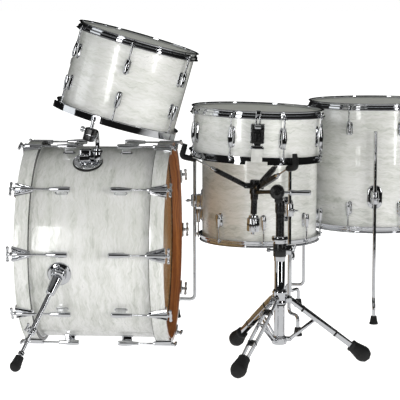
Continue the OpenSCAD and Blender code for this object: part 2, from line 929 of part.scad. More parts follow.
module leg_bracket(d) {
    difference() {
        union() {
            outward(d / 2 - 2, 6.5) stadium(48, 76);
            outward(d / 2, 22) square([26, 44], center = true);
            translate([0, -d / 2 - leg_off, 0]) cylinder(r = 12, h = 38, center = true);
        }
        cylinder(r = d / 2 + gap, h = 200, center = true, $fn = 256);
        translate([0, -d / 2 - leg_off, 0]) cylinder(d = leg_d + 2 * slide_fit, h = 80, center = true);
    }
    outward(d / 2 + leg_off + 12 + gap, 7) circle(r = 4);
    outward(d / 2 + leg_off + 18, 9) {
        circle(r = 6);
        square([30, 5], center = true);
    }
}

// upright, cranked outwards near the floor
module floor_leg(d, top_z) {
    r = d / 2 + leg_off;
    run = leg_foot_reach - 2 * leg_bend_r;
    translate([0, -r, leg_run_z + leg_bend_r]) {
        cylinder(d = leg_d, h = top_z - leg_run_z - leg_bend_r);
        mirror([0, 0, 1]) quarter_bend(leg_bend_r, leg_d);
    }
    translate([0, -r - leg_bend_r, leg_run_z]) rotate([90, 0, 0]) cylinder(d = leg_d, h = run);
    translate([0, -r - leg_foot_reach, leg_run_z - leg_bend_r]) {
        mirror([0, 1, 0]) quarter_bend(leg_bend_r, leg_d);
        mirror([0, 0, 1]) cylinder(d = leg_d, h = leg_run_z - leg_bend_r - 8);
    }
}

module leg_foot(d) {
    translate([0, -d / 2 - leg_off - leg_foot_reach, 0]) difference() {
        cylinder(r1 = 14, r2 = 9, h = foot_h);
        translate([0, 0, 8 - gap]) cylinder(d = leg_d + 2 * gap, h = foot_h);
    }
}

module small_shell() {
    color(pearl) at_small() shell(small_d, small_depth);
}

module small_hoops() {
    color(chrome) at_small() both_ends(small_depth) flanged_hoop(small_d, eight_lugs, small_lug_turn);
}

module small_heads() {
    color(skin) at_small() both_ends(small_depth) head(small_d);
}

module small_lugs() {
    color(chrome) at_small() end_lugs(small_d, small_depth, eight_lugs, small_lug_turn);
}

module small_rods() {
    color(chrome) at_small() end_rods(small_d, small_depth, eight_lugs, small_lug_turn);
}

module small_leg_brackets() {
    color(chrome) translate([small_x, small_y, small_bracket_z]) at_azimuths(small_leg_turns)
        leg_bracket(small_d);
}

module small_legs() {
    color(chrome) translate([small_x, small_y, 0]) at_azimuths(small_leg_turns) floor_leg(small_d, 505);
}

module small_feet() {
    color(black) translate([small_x, small_y, 0]) at_azimuths(small_leg_turns) leg_foot(small_d);
}

module large_shell() {
    color(pearl) at_large() shell(large_d, large_depth);
}

module large_hoops() {
    color(chrome) at_large() both_ends(large_depth) flanged_hoop(large_d, eight_lugs, large_lug_turn);
}

module large_heads() {
    color(skin) at_large() both_ends(large_depth) head(large_d);
}

module large_lugs() {
    color(chrome) at_large() end_lugs(large_d, large_depth, eight_lugs, large_lug_turn);
}

module large_rods() {
    color(chrome) at_large() end_rods(large_d, large_depth, eight_lugs, large_lug_turn);
}

module large_leg_brackets() {
    color(chrome) translate([large_x, large_y, large_bracket_z]) at_azimuths(large_leg_turns)
        leg_bracket(large_d);
}

module large_legs() {
    color(chrome) translate([large_x, large_y, 0]) at_azimuths(large_leg_turns) floor_leg(large_d, 595);
}

module large_feet() {
    color(black) translate([large_x, large_y, 0]) at_azimuths(large_leg_turns) leg_foot(large_d);
}

// ---------- drawing ----------

kick_shell();
kick_front_hoop();
kick_batter_hoop();
kick_heads();
kick_lugs();
kick_claws();
kick_t_rods();
kick_spur_brackets();
near_spur_tube();
near_spur_rod();
far_spur_tube();
far_spur_rod();
mount_gasket();
mount_base();
tom_arm();
tom_tilter();
rack_shell();
rack_hoops();
rack_heads();
rack_lugs();
rack_rods();
rack_bracket();
snare_shell();
snare_batter_hoop();
snare_side_hoop();
snare_heads();
snare_lugs();
snare_rods();
strainer();
strainer_lever();
snare_butt();
snare_wires();
stand_base();
leg_collar();
stand_legs();
stand_braces();
stand_feet();
height_clamp();
height_tube();
basket_hub();
arm_left();
arm_front();
arm_rear();
basket_nut();
small_shell();
small_hoops();
small_heads();
small_lugs();
small_rods();
small_leg_brackets();
small_legs();
small_feet();
large_shell();
large_hoops();
large_heads();
large_lugs();
large_rods();
large_leg_brackets();
large_legs();
large_feet();
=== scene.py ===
"""Looks of the drum kit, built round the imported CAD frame.

The scene is in metres. The code of the pieces is in millimetres; Piece.done turns it into metres.
"""
import math

import bmesh
import bpy
from mathutils import Matrix, Vector


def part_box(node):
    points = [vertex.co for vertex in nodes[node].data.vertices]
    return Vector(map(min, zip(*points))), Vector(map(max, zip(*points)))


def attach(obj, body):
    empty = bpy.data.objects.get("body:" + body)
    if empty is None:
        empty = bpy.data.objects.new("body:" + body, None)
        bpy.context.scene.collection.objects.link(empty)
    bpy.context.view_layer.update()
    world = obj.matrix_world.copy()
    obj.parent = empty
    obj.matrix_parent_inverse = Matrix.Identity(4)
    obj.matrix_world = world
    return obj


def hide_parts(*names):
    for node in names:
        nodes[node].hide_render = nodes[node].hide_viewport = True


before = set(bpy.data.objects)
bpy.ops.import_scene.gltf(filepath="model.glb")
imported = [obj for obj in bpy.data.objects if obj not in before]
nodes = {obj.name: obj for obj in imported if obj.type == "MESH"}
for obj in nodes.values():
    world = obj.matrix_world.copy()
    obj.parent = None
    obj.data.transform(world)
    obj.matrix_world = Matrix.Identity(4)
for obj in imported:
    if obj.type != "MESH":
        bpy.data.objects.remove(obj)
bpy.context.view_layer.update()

MM = 0.001


# ---------- places, taken from the frame ----------

def middle(node):
    """Centre of a CAD node's box, in metres."""
    low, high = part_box(node)
    return (low + high) / 2


def size(node):
    """Extents of a CAD node's box, in metres."""
    low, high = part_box(node)
    return high - low


# Each place puts the drum's axis on local Z and its centre at the origin.
RACK_LEAN = math.radians(16)
SNARE_LEAN = math.radians(2)

KICK = Matrix.Translation(middle("kick_shell")) @ Matrix.Rotation(math.radians(90), 4, "Y")
RACK = Matrix.Translation(middle("rack_shell")) @ Matrix.Rotation(RACK_LEAN, 4, "Y")
SNARE = Matrix.Translation(middle("snare_shell")) @ Matrix.Rotation(SNARE_LEAN, 4, "Y")
SMALL = Matrix.Translation(middle("small_shell"))
LARGE = Matrix.Translation(middle("large_shell"))


# ---------- node materials ----------

class Nodes:
    """A short way to write a node tree."""

    def __init__(self, tree):
        self.tree = tree
        tree.nodes.clear()

    def node(self, kind, settings=None, **inputs):
        made = self.tree.nodes.new("ShaderNode" + kind)
        for key, value in (settings or {}).items():
            setattr(made, key, value)
        for key, value in inputs.items():
            self.put(made, key, value)
        return made

    def put(self, made, key, value):
        """Link or set an input. The key is its name with underscores, or "_" and its number."""
        place = int(key[1:]) if key[0] == "_" else key.replace("_", " ")
        socket = made.inputs[place]
        if isinstance(value, bpy.types.NodeSocket):
            self.tree.links.new(value, socket)
        elif isinstance(value, bpy.types.Node):
            self.tree.links.new(value.outputs[0], socket)
        else:
            socket.default_value = value

    def math(self, operation, *values):
        made = self.node("Math", {"operation": operation})
        for i, value in enumerate(values):
            self.put(made, f"_{i}", value)
        return made

    def ramp(self, factor, stops):
        made = self.node("ValToRGB")
        elements = made.color_ramp.elements
        while len(elements) < len(stops):
            elements.new(0.5)
        for element, (at, colour) in zip(elements, stops):
            element.position = at
            element.color = colour if len(colour) == 4 else (*colour, 1)
        self.put(made, "Fac", factor)
        return made

    def mix(self, factor, a, b):
        """Colour blend. A Mix node keeps its colours in inputs 6 and 7 and in output 2."""
        made = self.node("Mix", {"data_type": "RGBA"})
        self.put(made, "_0", factor)
        for place, value in ((6, a), (7, b)):
            is_rgb = isinstance(value, tuple) and len(value) == 3
            self.put(made, f"_{place}", (*value, 1) if is_rgb else value)
        return made.outputs[2]


def material(name, build, **surface):
    """A Principled material; build(n) returns what its sockets are linked to."""
    made = bpy.data.materials.new(name)
    made.use_nodes = True
    n = Nodes(made.node_tree)
    shader = n.node("BsdfPrincipled")
    for key, value in surface.items():
        shader.inputs[key.replace("_", " ")].default_value = value
    for key, value in build(n).items():
        n.put(shader, key, value)
    n.node("OutputMaterial", Surface=shader)
    return made


def bump(n, height, strength, distance):
    """A Bump node; distance is in metres."""
    made = n.node("Bump")
    made.inputs["Strength"].default_value = strength
    made.inputs["Distance"].default_value = distance
    n.put(made, "Height", height)
    return made


def drum_coordinates(n, place):
    """A point of a drum as angle round it, height along it, radius, and its position in the drum's frame."""
    local = n.node("Mapping", {"vector_type": "POINT"}, Vector=n.node("TexCoord").outputs["Object"])
    inverse = place.inverted()
    local.inputs["Location"].default_value = inverse.to_translation()
    local.inputs["Rotation"].default_value = inverse.to_euler()
    split = n.node("SeparateXYZ", Vector=local)
    angle = n.math("ARCTAN2", split.outputs["Y"], split.outputs["X"])
    radius = n.math("SQRT", n.math("ADD", n.math("MULTIPLY", split.outputs["X"], split.outputs["X"]),
                                   n.math("MULTIPLY", split.outputs["Y"], split.outputs["Y"])))
    return angle, split.outputs["Z"], radius, local


def pearl(name, place, radius):
    """White marine pearl wrap: pale flame shapes drawn out round the shell under clear plastic."""

    def build(n):
        angle, height, _, local = drum_coordinates(n, place)
        warp = n.node("TexNoise", Vector=local, Scale=14.0, Detail=3.0)
        warp2 = n.node("TexNoise", Vector=local, Scale=55.0, Detail=2.0)
        run = n.math("MULTIPLY", angle, radius)
        bend = n.math("MULTIPLY", n.math("SUBTRACT", warp, 0.5), 0.030)
        bend2 = n.math("MULTIPLY", n.math("SUBTRACT", warp2, 0.5), 0.012)
        across = n.math("ADD", n.math("ADD", height, bend), bend2)
        flame = n.node("CombineXYZ", X=n.math("MULTIPLY", n.math("ADD", run, bend), 9.0),
                       Y=n.math("MULTIPLY", across, 46.0))
        streaks = n.node("TexNoise", Vector=flame, Scale=1.6, Detail=5.0, Roughness=0.62, Distortion=0.9)
        fine = n.node("CombineXYZ", X=n.math("MULTIPLY", run, 26.0), Y=n.math("MULTIPLY", across, 150.0))
        threads = n.node("TexNoise", Vector=fine, Scale=1.6, Detail=3.0, Roughness=0.6, Distortion=0.5)
        cells = n.node("TexVoronoi", {"feature": "SMOOTH_F1"}, Vector=flame, Scale=0.9, Smoothness=0.6)
        pattern = n.math("ADD", n.math("MULTIPLY", streaks, 0.52),
                         n.math("ADD", n.math("MULTIPLY", threads, 0.33),
                                n.math("MULTIPLY", cells, 0.22)))
        colour = n.ramp(pattern, [(0.38, (0.56, 0.575, 0.535)), (0.46, (0.72, 0.73, 0.69)),
                                  (0.53, (0.82, 0.825, 0.795)), (0.59, (0.90, 0.90, 0.88)),
                                  (0.68, (0.98, 0.98, 0.965))])
        shimmer = n.ramp(pattern, [(0.42, (0.02,) * 3), (0.64, (0.22,) * 3)])
        return {
            "Base_Color": colour,
            "Metallic": shimmer,
            "Roughness": n.ramp(pattern, [(0.35, (0.42,) * 3), (0.7, (0.26,) * 3)]),
            "Normal": bump(n, pattern, 0.10, 0.004),
        }

    return material(name, build, Coat_Weight=1.0, Coat_Roughness=0.035, IOR=1.5)


def chrome(name="chrome", tint=(0.72, 0.73, 0.75), rough=0.05):
    """Plated metal with faint wiping marks and slightly wavy casting skin."""

    def build(n):
        local = n.node("TexCoord").outputs["Object"]
        smear = n.node("TexNoise", Vector=local, Scale=38.0, Detail=4.0, Roughness=0.6)
        grain = n.node("TexNoise", Vector=local, Scale=900.0, Detail=2.0)
        wave = n.node("TexNoise", Vector=local, Scale=60.0, Detail=1.0)
        shade = n.mix(n.ramp(smear, [(0.35, (0,) * 3), (0.7, (1,) * 3)]), tint,
                      tuple(c * 0.93 for c in tint))
        return {
            "Base_Color": shade,
            "Roughness": n.ramp(n.math("ADD", n.math("MULTIPLY", smear, 0.8),
                                       n.math("MULTIPLY", grain, 0.2)),
                                [(0.35, (rough * 0.6,) * 3), (0.75, (rough * 1.9,) * 3)]),
            "Normal": bump(n, wave, 0.05, 0.002),
        }

    return material(name, build, Metallic=1.0)


def black_enamel():
    """Glossy black paint with a little dust in it."""

    def build(n):
        local = n.node("TexCoord").outputs["Object"]
        peel = n.node("TexNoise", Vector=local, Scale=420.0, Detail=2.0)
        dust = n.node("TexNoise", Vector=local, Scale=120.0, Detail=5.0, Roughness=0.7)
        return {
            "Base_Color": n.ramp(dust, [(0.45, (0.004, 0.004, 0.004)), (0.75, (0.012, 0.012, 0.013))]),
            "Roughness": n.ramp(dust, [(0.35, (0.20,) * 3), (0.75, (0.42,) * 3)]),
            "Normal": bump(n, peel, 0.10, 0.0006),
        }

    return material("black_enamel", build, Coat_Weight=0.2, Coat_Roughness=0.10)


def rubber():
    """Matt black rubber with fine pores and a greyish bloom."""

    def build(n):
        local = n.node("TexCoord").outputs["Object"]
        pores = n.node("TexNoise", Vector=local, Scale=1500.0, Detail=3.0)
        bloom = n.node("TexNoise", Vector=local, Scale=50.0, Detail=4.0)
        return {
            "Base_Color": n.ramp(bloom, [(0.4, (0.004, 0.004, 0.004)), (0.75, (0.014, 0.014, 0.015))]),
            "Roughness": n.ramp(bloom, [(0.35, (0.55,) * 3), (0.75, (0.78,) * 3)]),
            "Normal": bump(n, pores, 0.25, 0.0004),
        }

    return material("rubber", build)


def coated_head():
    """White coated film: sprayed-on grit over a slightly cloudy colour."""

    def build(n):
        local = n.node("TexCoord").outputs["Object"]
        grit = n.node("TexNoise", Vector=local, Scale=1300.0, Detail=2.0, Roughness=0.7)
        cloud = n.node("TexNoise", Vector=local, Scale=9.0, Detail=5.0, Roughness=0.6)
        return {
            "Base_Color": n.ramp(cloud, [(0.35, (0.74, 0.74, 0.715)), (0.65, (0.83, 0.83, 0.81))]),
            "Roughness": n.ramp(grit, [(0.4, (0.55,) * 3), (0.65, (0.75,) * 3)]),
            "Normal": bump(n, grit, 0.30, 0.0003),
        }

    return material("coated_head", build)


def wood(name, place, dark, light, gloss):
    """Plies bent round a drum: grain lines run along the circumference."""

    def build(n):
        angle, height, radius, local = drum_coordinates(n, place)
        warp = n.node("TexNoise", Vector=local, Scale=7.0, Detail=3.0)
        across = n.math("ADD", n.math("ADD", height, radius),
                        n.math("MULTIPLY", n.math("SUBTRACT", warp, 0.5), 0.030))
        plane = n.node("CombineXYZ", X=n.math("MULTIPLY", angle, 1.3), Y=n.math("MULTIPLY", across, 190.0),
                       Z=n.math("MULTIPLY", height, 20.0))
        grain = n.node("TexNoise", Vector=plane, Scale=1.0, Detail=6.0, Roughness=0.65, Distortion=0.4)
        pores = n.node("CombineXYZ", X=n.math("MULTIPLY", angle, 22.0), Y=n.math("MULTIPLY", across, 900.0))
        pore = n.node("TexNoise", Vector=pores, Scale=1.0, Detail=2.0)
        figure = n.math("ADD", n.math("MULTIPLY", grain, 0.8), n.math("MULTIPLY", pore, 0.2))
        middle_tone = tuple((a + b) / 2 for a, b in zip(dark, light))
        return {
            "Base_Color": n.ramp(figure, [(0.33, dark), (0.5, middle_tone), (0.66, light)]),
            "Roughness": n.ramp(figure, [(0.35, (0.42,) * 3), (0.65, (0.30,) * 3)]),
            "Normal": bump(n, figure, 0.15, 0.0008),
        }

    return material(name, build, Coat_Weight=gloss, Coat_Roughness=0.12)


def wire_steel():
    """Bright drawn steel, uneven in tone."""

    def build(n):
        local = n.node("TexCoord").outputs["Object"]
        tone = n.node("TexNoise", Vector=local, Scale=300.0, Detail=3.0)
        return {
            "Base_Color": n.ramp(tone, [(0.35, (0.42, 0.43, 0.44)), (0.7, (0.66, 0.67, 0.68))]),
            "Roughness": n.ramp(tone, [(0.35, (0.22,) * 3), (0.7, (0.36,) * 3)]),
        }

    return material("wire_steel", build, Metallic=1.0)


CHROME = chrome()
BLACK = black_enamel()
RUBBER = rubber()
HEAD = coated_head()
WIRE = wire_steel()
PEARLS = {
    "kick": pearl("pearl_kick", KICK, size("kick_shell").z / 2),
    "rack": pearl("pearl_rack", RACK, size("rack_shell").y / 2),
    "snare": pearl("pearl_snare", SNARE, size("snare_shell").y / 2),
    "small": pearl("pearl_small", SMALL, size("small_shell").y / 2),
    "large": pearl("pearl_large", LARGE, size("large_shell").y / 2),
}
HOOP_WOOD = wood("hoop_wood", KICK, (0.17, 0.045, 0.012), (0.56, 0.21, 0.060), 0.7)
SHELL_WOOD = wood("shell_wood", KICK, (0.30, 0.14, 0.05), (0.62, 0.38, 0.18), 0.25)


def clear_head():
    """Clear film, seen from below; slightly cloudy from its own thickness."""

    def build(n):
        local = n.node("TexCoord").outputs["Object"]
        cloud = n.node("TexNoise", Vector=local, Scale=12.0, Detail=4.0)
        return {
            "Base_Color": n.ramp(cloud, [(0.35, (0.82, 0.83, 0.83)), (0.65, (0.90, 0.91, 0.91))]),
            "Roughness": n.ramp(cloud, [(0.35, (0.10,) * 3), (0.65, (0.20,) * 3)]),
            "Normal": bump(n, cloud, 0.04, 0.002),
        }

    return material("clear_head", build, Transmission_Weight=0.55, IOR=1.45)


def batter_film():
    """Clear oiled film on the bass drum's playing side; its warm tan base colour is a painted reflection of
    the wooden hoop.
    """

    def build(n):
        local = n.node("TexCoord").outputs["Object"]
        cloud = n.node("TexNoise", Vector=local, Scale=9.0, Detail=4.0)
        return {
            # Painted reflection: the tan colour stands in for the wooden hoop mirrored in the film.
            "Base_Color": n.ramp(cloud, [(0.35, (0.50, 0.33, 0.15)), (0.65, (0.62, 0.44, 0.23))]),
            "Roughness": n.ramp(cloud, [(0.35, (0.12,) * 3), (0.65, (0.22,) * 3)]),
            "Normal": bump(n, cloud, 0.04, 0.002),
        }

    return material("batter_film", build, Transmission_Weight=0.25, IOR=1.45)


def strap_film():
    """Matt translucent plastic ribbon."""

    def build(n):
        local = n.node("TexCoord").outputs["Object"]
        tone = n.node("TexNoise", Vector=local, Scale=80.0, Detail=3.0)
        return {
            "Base_Color": n.ramp(tone, [(0.35, (0.52, 0.52, 0.50)), (0.65, (0.62, 0.62, 0.60))]),
            "Roughness": n.ramp(tone, [(0.35, (0.35,) * 3), (0.65, (0.5,) * 3)]),
            "Normal": bump(n, tone, 0.08, 0.0005),
        }

    return material("strap_film", build)


CLEAR = clear_head()
BATTER_FILM = batter_film()
STRAP = strap_film()
FLESH_RING = chrome("flesh_ring", (0.70, 0.71, 0.72), 0.16)

BLACK_NODES = {"tom_tilter", "strainer", "height_tube", "basket_hub", "arm_left", "arm_front", "arm_rear"}
RUBBER_NODES = {"mount_gasket", "stand_feet", "small_feet", "large_feet"}


def node_material(name):
    """Material of a CAD node that no piece of this file stands for."""
    drum = name.split("_")[0]
    if name.endswith("_shell") or name in ("kick_front_hoop", "kick_batter_hoop"):
        return PEARLS[drum]
    if name.endswith("_heads"):
        return HEAD
    if name in BLACK_NODES:
        return BLACK
    if name in RUBBER_NODES:
        return RUBBER
    if name == "snare_wires":
        return WIRE
    return CHROME


for name, node in nodes.items():
    node.data.materials.clear()
    node.data.materials.append(node_material(name))


# ---------- mesh code, in millimetres ----------

def shift(x=0.0, y=0.0, z=0.0):
    return Matrix.Translation((x, y, z))


def turn(degrees, axis="Z"):
    return Matrix.Rotation(math.radians(degrees), 4, axis)


FLIP = Matrix.Diagonal((1, 1, -1, 1))
MIRROR_Y = Matrix.Diagonal((1, -1, 1, 1))


def aim(start, end):
    """A place at start whose +Z points to end."""
    start, end = Vector(start), Vector(end)
    return Matrix.Translation(start) @ (end - start).to_track_quat("Z", "Y").to_matrix().to_4x4()


def rounded(points, radius, steps=3, closed=False):
    """The line with each corner replaced by a short curve."""
    points = [Vector(p) for p in points]
    made = []
    for i, point in enumerate(points):
        if not closed and i in (0, len(points) - 1):
            made.append(point)
            continue
        back = points[i - 1] - point
        ahead = points[(i + 1) % len(points)] - point
        cut = min(radius, back.length * 0.48, ahead.length * 0.48)
        start, end = point + back.normalized() * cut, point + ahead.normalized() * cut
        for k in range(steps + 1):
            t = k / steps
            made.append(start * (1 - t) ** 2 + point * (2 * t * (1 - t)) + end * t * t)
    return made


def turned(profile, segments=48, closed=False):
    """(radius, height) points turned round Z; an end at radius 0 closes on the axis."""
    verts, rings = [], []
    for radius, height in profile:
        count = 1 if radius < 1e-6 else segments
        rings.append(range(len(verts), len(verts) + count))
        for i in range(count):
            angle = 2 * math.pi * i / segments
            verts.append((radius * math.cos(angle), radius * math.sin(angle), height))
    faces = []
    following = rings[1:] + (rings[:1] if closed else [])
    for a, b in zip(rings, following):
        for i in range(segments):
            j = (i + 1) % segments
            corners = [a[i % len(a)], a[j % len(a)], b[j % len(b)], b[i % len(b)]]
            faces.append(list(dict.fromkeys(corners)))
    return verts, [face for face in faces if len(face) > 2]


def bar(radius, low, high, edge=0.8, segments=32):
    """A round bar along Z with softened ends."""
    edge = min(edge, radius * 0.45)
    return turned([(0, low), *rounded([(radius - edge, low), (radius, low), (radius, low + edge)], edge, 2),
                   *rounded([(radius, high - edge), (radius, high), (radius - edge, high)], edge, 2),
                   (0, high)], segments)


def tube(outer, inner, low, high, edge=0.6, segments=48):
    """A ring along Z between two radii, with softened edges."""
    loop = rounded([(inner, low), (outer, low), (outer, high), (inner, high)], edge, 2, closed=True)
    return turned(loop, segments, closed=True)


def pipe(points, radius, sides=16):
    """A round bar along a line; radius is a number or one for each point."""
    points = [Vector(p) for p in points]
    radii = [radius] * len(points) if isinstance(radius, (int, float)) else list(radius)
    tangents = []
    for i in range(len(points)):
        tangents.append((points[min(i + 1, len(points) - 1)] - points[max(i - 1, 0)]).normalized())
    normal = tangents[0].orthogonal().normalized()
    verts, faces = [], []
    for i, (point, tangent) in enumerate(zip(points, tangents)):
        normal = (normal - tangent * normal.dot(tangent)).normalized()
        side = tangent.cross(normal)
        for k in range(sides):
            angle = 2 * math.pi * k / sides
            verts.append(point + (normal * math.cos(angle) + side * math.sin(angle)) * radii[i])
        if i:
            low, high = (i - 1) * sides, i * sides
            for k in range(sides):
                after = (k + 1) % sides
                faces.append([low + k, low + after, high + after, high + k])
    faces += [list(range(sides)), list(range(len(verts) - sides, len(verts)))]
    return verts, faces


def loft(loops):
    """Skin through closed loops of equal length, with both ends closed."""
    count = len(loops[0])
    verts = [v for loop in loops for v in loop]
    faces = [list(range(count)), list(range(len(verts) - count, len(verts)))]
    for i in range(len(loops) - 1):
        low, high = i * count, (i + 1) * count
        faces += [[low + k, low + (k + 1) % count, high + (k + 1) % count, high + k] for k in range(count)]
    return verts, faces


def plate(outline, low, high, edge=0.7, steps=2):
    """A flat shape in XY, thick along Z, with rounded rims; the outline needs no sharp inner corners."""
    outline = [Vector(p) for p in outline]
    area = sum(a.x * b.y - b.x * a.y for a, b in zip(outline, outline[1:] + outline[:1]))
    if area < 0:
        outline.reverse()
    inward = []
    for i, point in enumerate(outline):
        along = (outline[(i + 1) % len(outline)] - outline[i - 1]).normalized()
        inward.append(Vector((-along.y, along.x)))
    edge = min(edge, (high - low) * 0.48)
    loops = []
    for k in range(steps + 1):
        angle = math.pi / 2 * k / steps
        loops.append((edge * (1 - math.sin(angle)), low + edge * (1 - math.cos(angle))))
    loops += [(inset, low + high - z) for inset, z in reversed(loops)]
    return loft([[(*(p + n * inset), z) for p, n in zip(outline, inward)] for inset, z in loops])


def rectangle(width, height, radius=1.5, steps=3, middle_at=(0, 0)):
    x, y = middle_at
    corners = [(x - width / 2, y - height / 2), (x + width / 2, y - height / 2),
               (x + width / 2, y + height / 2), (x - width / 2, y + height / 2)]
    return rounded(corners, radius, steps, closed=True)


def oval(width, height, count=36):
    """A stadium shape."""
    radius, straight = min(width, height) / 2, abs(height - width) / 2
    made = []
    for i in range(count):
        angle = 2 * math.pi * i / count
        x, y = radius * math.cos(angle), radius * math.sin(angle)
        if height >= width:
            y += math.copysign(straight, math.sin(angle + 1e-9))
        else:
            x += math.copysign(straight, math.cos(angle + 1e-9))
        made.append((x, y))
    return made


def bar_outline(start, end, width, steps=8):
    """A flat strip with round ends between two points of a plane."""
    start, end = Vector(start), Vector(end)
    heading = math.atan2(*(end - start).yx)
    made = []
    for centre, first in ((end, -90), (start, 90)):
        for k in range(steps + 1):
            angle = heading + math.radians(first + 180 * k / steps)
            made.append(centre + Vector((math.cos(angle), math.sin(angle))) * width / 2)
    return made


def outward(radius):
    """Plates drawn here lie on a drum's near side: x across, y up the drum, z out from the shell."""
    return shift(0, -radius, 0) @ turn(90, "X")


def around(count, first=0.0):
    """Turns about Z at equal steps, in degrees from the drum's near side."""
    return [turn(first + 360 * i / count) for i in range(count)]


class Piece:
    """One mesh object that rides on a CAD body and stands for CAD nodes.

    Shapes are added in the piece's own millimetres; place carries the finished piece into the scene.
    """

    def __init__(self, name, body, *replaced, place=None):
        self.name = name
        self.body = body
        self.replaced = replaced
        self.place = place or Matrix.Identity(4)
        self.verts, self.faces, self.slots, self.materials = [], [], [], []

    def add(self, shape, surface, *places):
        """Add a copy of the shape at each place, or one copy as drawn."""
        verts, faces = shape
        if surface not in self.materials:
            self.materials.append(surface)
        slot = self.materials.index(surface)
        for place in places or (Matrix.Identity(4),):
            start = len(self.verts)
            self.verts += [place @ Vector((*v, 0)[:3]) for v in verts]
            self.faces += [[start + i for i in face] for face in faces]
            self.slots += [slot] * len(faces)

    def done(self, crease=38):
        """Make the object. Edges sharper than crease, in degrees, stay sharp."""
        mesh = bpy.data.meshes.new(self.name)
        mesh.from_pydata([self.place @ (v * MM) for v in self.verts], [], self.faces)
        for surface in self.materials:
            mesh.materials.append(surface)
        mesh.polygons.foreach_set("material_index", self.slots)
        bm = bmesh.new()
        bm.from_mesh(mesh)
        bmesh.ops.recalc_face_normals(bm, faces=bm.faces)
        bm.to_mesh(mesh)
        bm.free()
        mesh.shade_smooth()
        mesh.set_sharp_from_angle(angle=math.radians(crease))
        made = bpy.data.objects.new(self.name, mesh)
        bpy.context.scene.collection.objects.link(made)
        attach(made, self.body)
        if self.replaced:
            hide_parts(*self.replaced)
        return made


# ---------- what every drum has ----------

WALL = 7.0  # thickness of every shell
WRAP = 0.5  # thickness of the plastic wrap
ROD_OFF = 12.0  # from the shell to a tension rod's axis
HOOP_RISE = 9.0  # of a steel hoop above the shell's end


def both_ends(depth):
    """Places at the two ends of a drum, each with +Z pointing away from the shell."""
    return [shift(z=depth / 2), FLIP @ shift(z=depth / 2)]


def drum_shell(name, body, node, place, diameter, depth, wrap):
    """A ply shell with bearing edges, and its plastic wrap as a layer of its own."""
    r, half = diameter / 2, depth / 2
    edge = 2.0  # how far the bearing edge's crest stands inside the shell
    clearance = 0.05  # keeps wood and wrap from sharing a face
    core = r - WRAP - clearance
    piece = Piece(name, body, node, place=place)
    plies = [(r - WALL, WALL - edge - half), (r - edge, -half), (core, edge / 2 - half),
             (core, half - edge / 2), (r - edge, half), (r - WALL, half - WALL + edge)]
    piece.add(turned(rounded(plies, 0.6, 2, closed=True), 160, closed=True), SHELL_WOOD)
    piece.add(tube(r, r - WRAP, 4 - half, half - 4, 0.2, 160), wrap)
    piece.done()


def drum_head(piece, diameter, film, end):
    """Film pulled over the bearing edge into its metal flesh ring."""
    r, film_t, gap = diameter / 2, 0.8, 0.3
    outer = rounded([(r - 9, gap + film_t), (r + gap + film_t, gap + film_t), (r + gap + film_t, -10)],
                    2.4, 4)
    inner = rounded([(r + gap, -10), (r + gap, gap), (r - 9, gap)], 1.6, 4)
    piece.add(turned([(0, gap + film_t), *outer, *inner, (0, gap)], 128), film, end)
    piece.add(tube(r + 5.2, r + gap + 0.9, -9.8, -4.1, 1.0, 128), FLESH_RING, end)


def hoop_profile(r):
    """Section of a triple-flanged steel hoop for a drum of radius r, as a closed loop."""
    loop = [(r + 2.0, 8.2), (r + 3.4, 9.2), (r + 7.6, 9.1), (r + 9.1, 7.6), (r + 8.0, 5.9), (r + 5.0, 6.4),
            (r + 4.0, 5.0), (r + 4.0, -1.2), (r + 7.2, -1.7), (r + 8.0, -3.4), (r + 8.0, -9.4),
            (r + 12.0, -10.0), (r + 12.0, -12.0), (r + 6.0, -12.0), (r + 6.0, -4.2), (r + 2.0, -3.7)]
    return rounded(loop, 1.1, 3, closed=True)


def flanged_hoop(piece, diameter, lugs, first, end):
    """Pressed steel hoop with an ear and a raised seat at each rod."""
    r = diameter / 2
    rod_r = r + ROD_OFF
    piece.add(turned(hoop_profile(r), 192, closed=True), CHROME, end)
    ear_loop = [(3.2, -12.3), (8.0, -12.3), (8.0, -10.2), (6.2, -9.5), (3.2, -9.5)]
    ear = turned(rounded(ear_loop, 0.5, 2, closed=True), 32, closed=True)
    tab = plate(rectangle(14, 7, 1.5, 2), -12.25, -9.9, 0.5)
    for spot in around(lugs, first):
        piece.add(ear, CHROME, end @ spot @ shift(0, -rod_r, 0))
        piece.add(tab, CHROME, end @ spot @ shift(0, -rod_r + 4.5, 0))


def thread(radius, low, high, pitch=0.9, segments=16):
    """A rod with fine ridges."""
    profile = [(0, low)]
    z = low
    while z < high - pitch:
        profile += [(radius, z), (radius - 0.28, z + pitch / 2)]
        z += pitch
    return turned([*profile, (radius, high), (0, high)], segments)


def square_head():
    """Head of a key rod: a square top with a worn rim; key_rod adds the washer face under it as a collar."""
    across = 5.1
    return plate(rectangle(across, across, 0.6, 2), 2.0, 8.5, 0.8)


def key_rod(piece, spot, length, washer=True):
    """Key rod whose seat is spot's origin, pointing down -Z."""
    piece.add(bar(2.5, -length * 0.55, 0.6, 0.2, 20), CHROME, spot)
    piece.add(thread(2.5, -length, -length * 0.55), CHROME, spot)
    collar = [(0, 0), (5.0, 0), (5.0, 1.6), (3.6, 2.6), (0, 2.6)]
    piece.add(turned(rounded(collar, 0.6, 2), 32), CHROME, spot)
    piece.add(square_head(), CHROME, spot)
    if washer:
        piece.add(tube(5.5, 2.8, -2.6, -0.1, 0.4, 32), CHROME, spot)


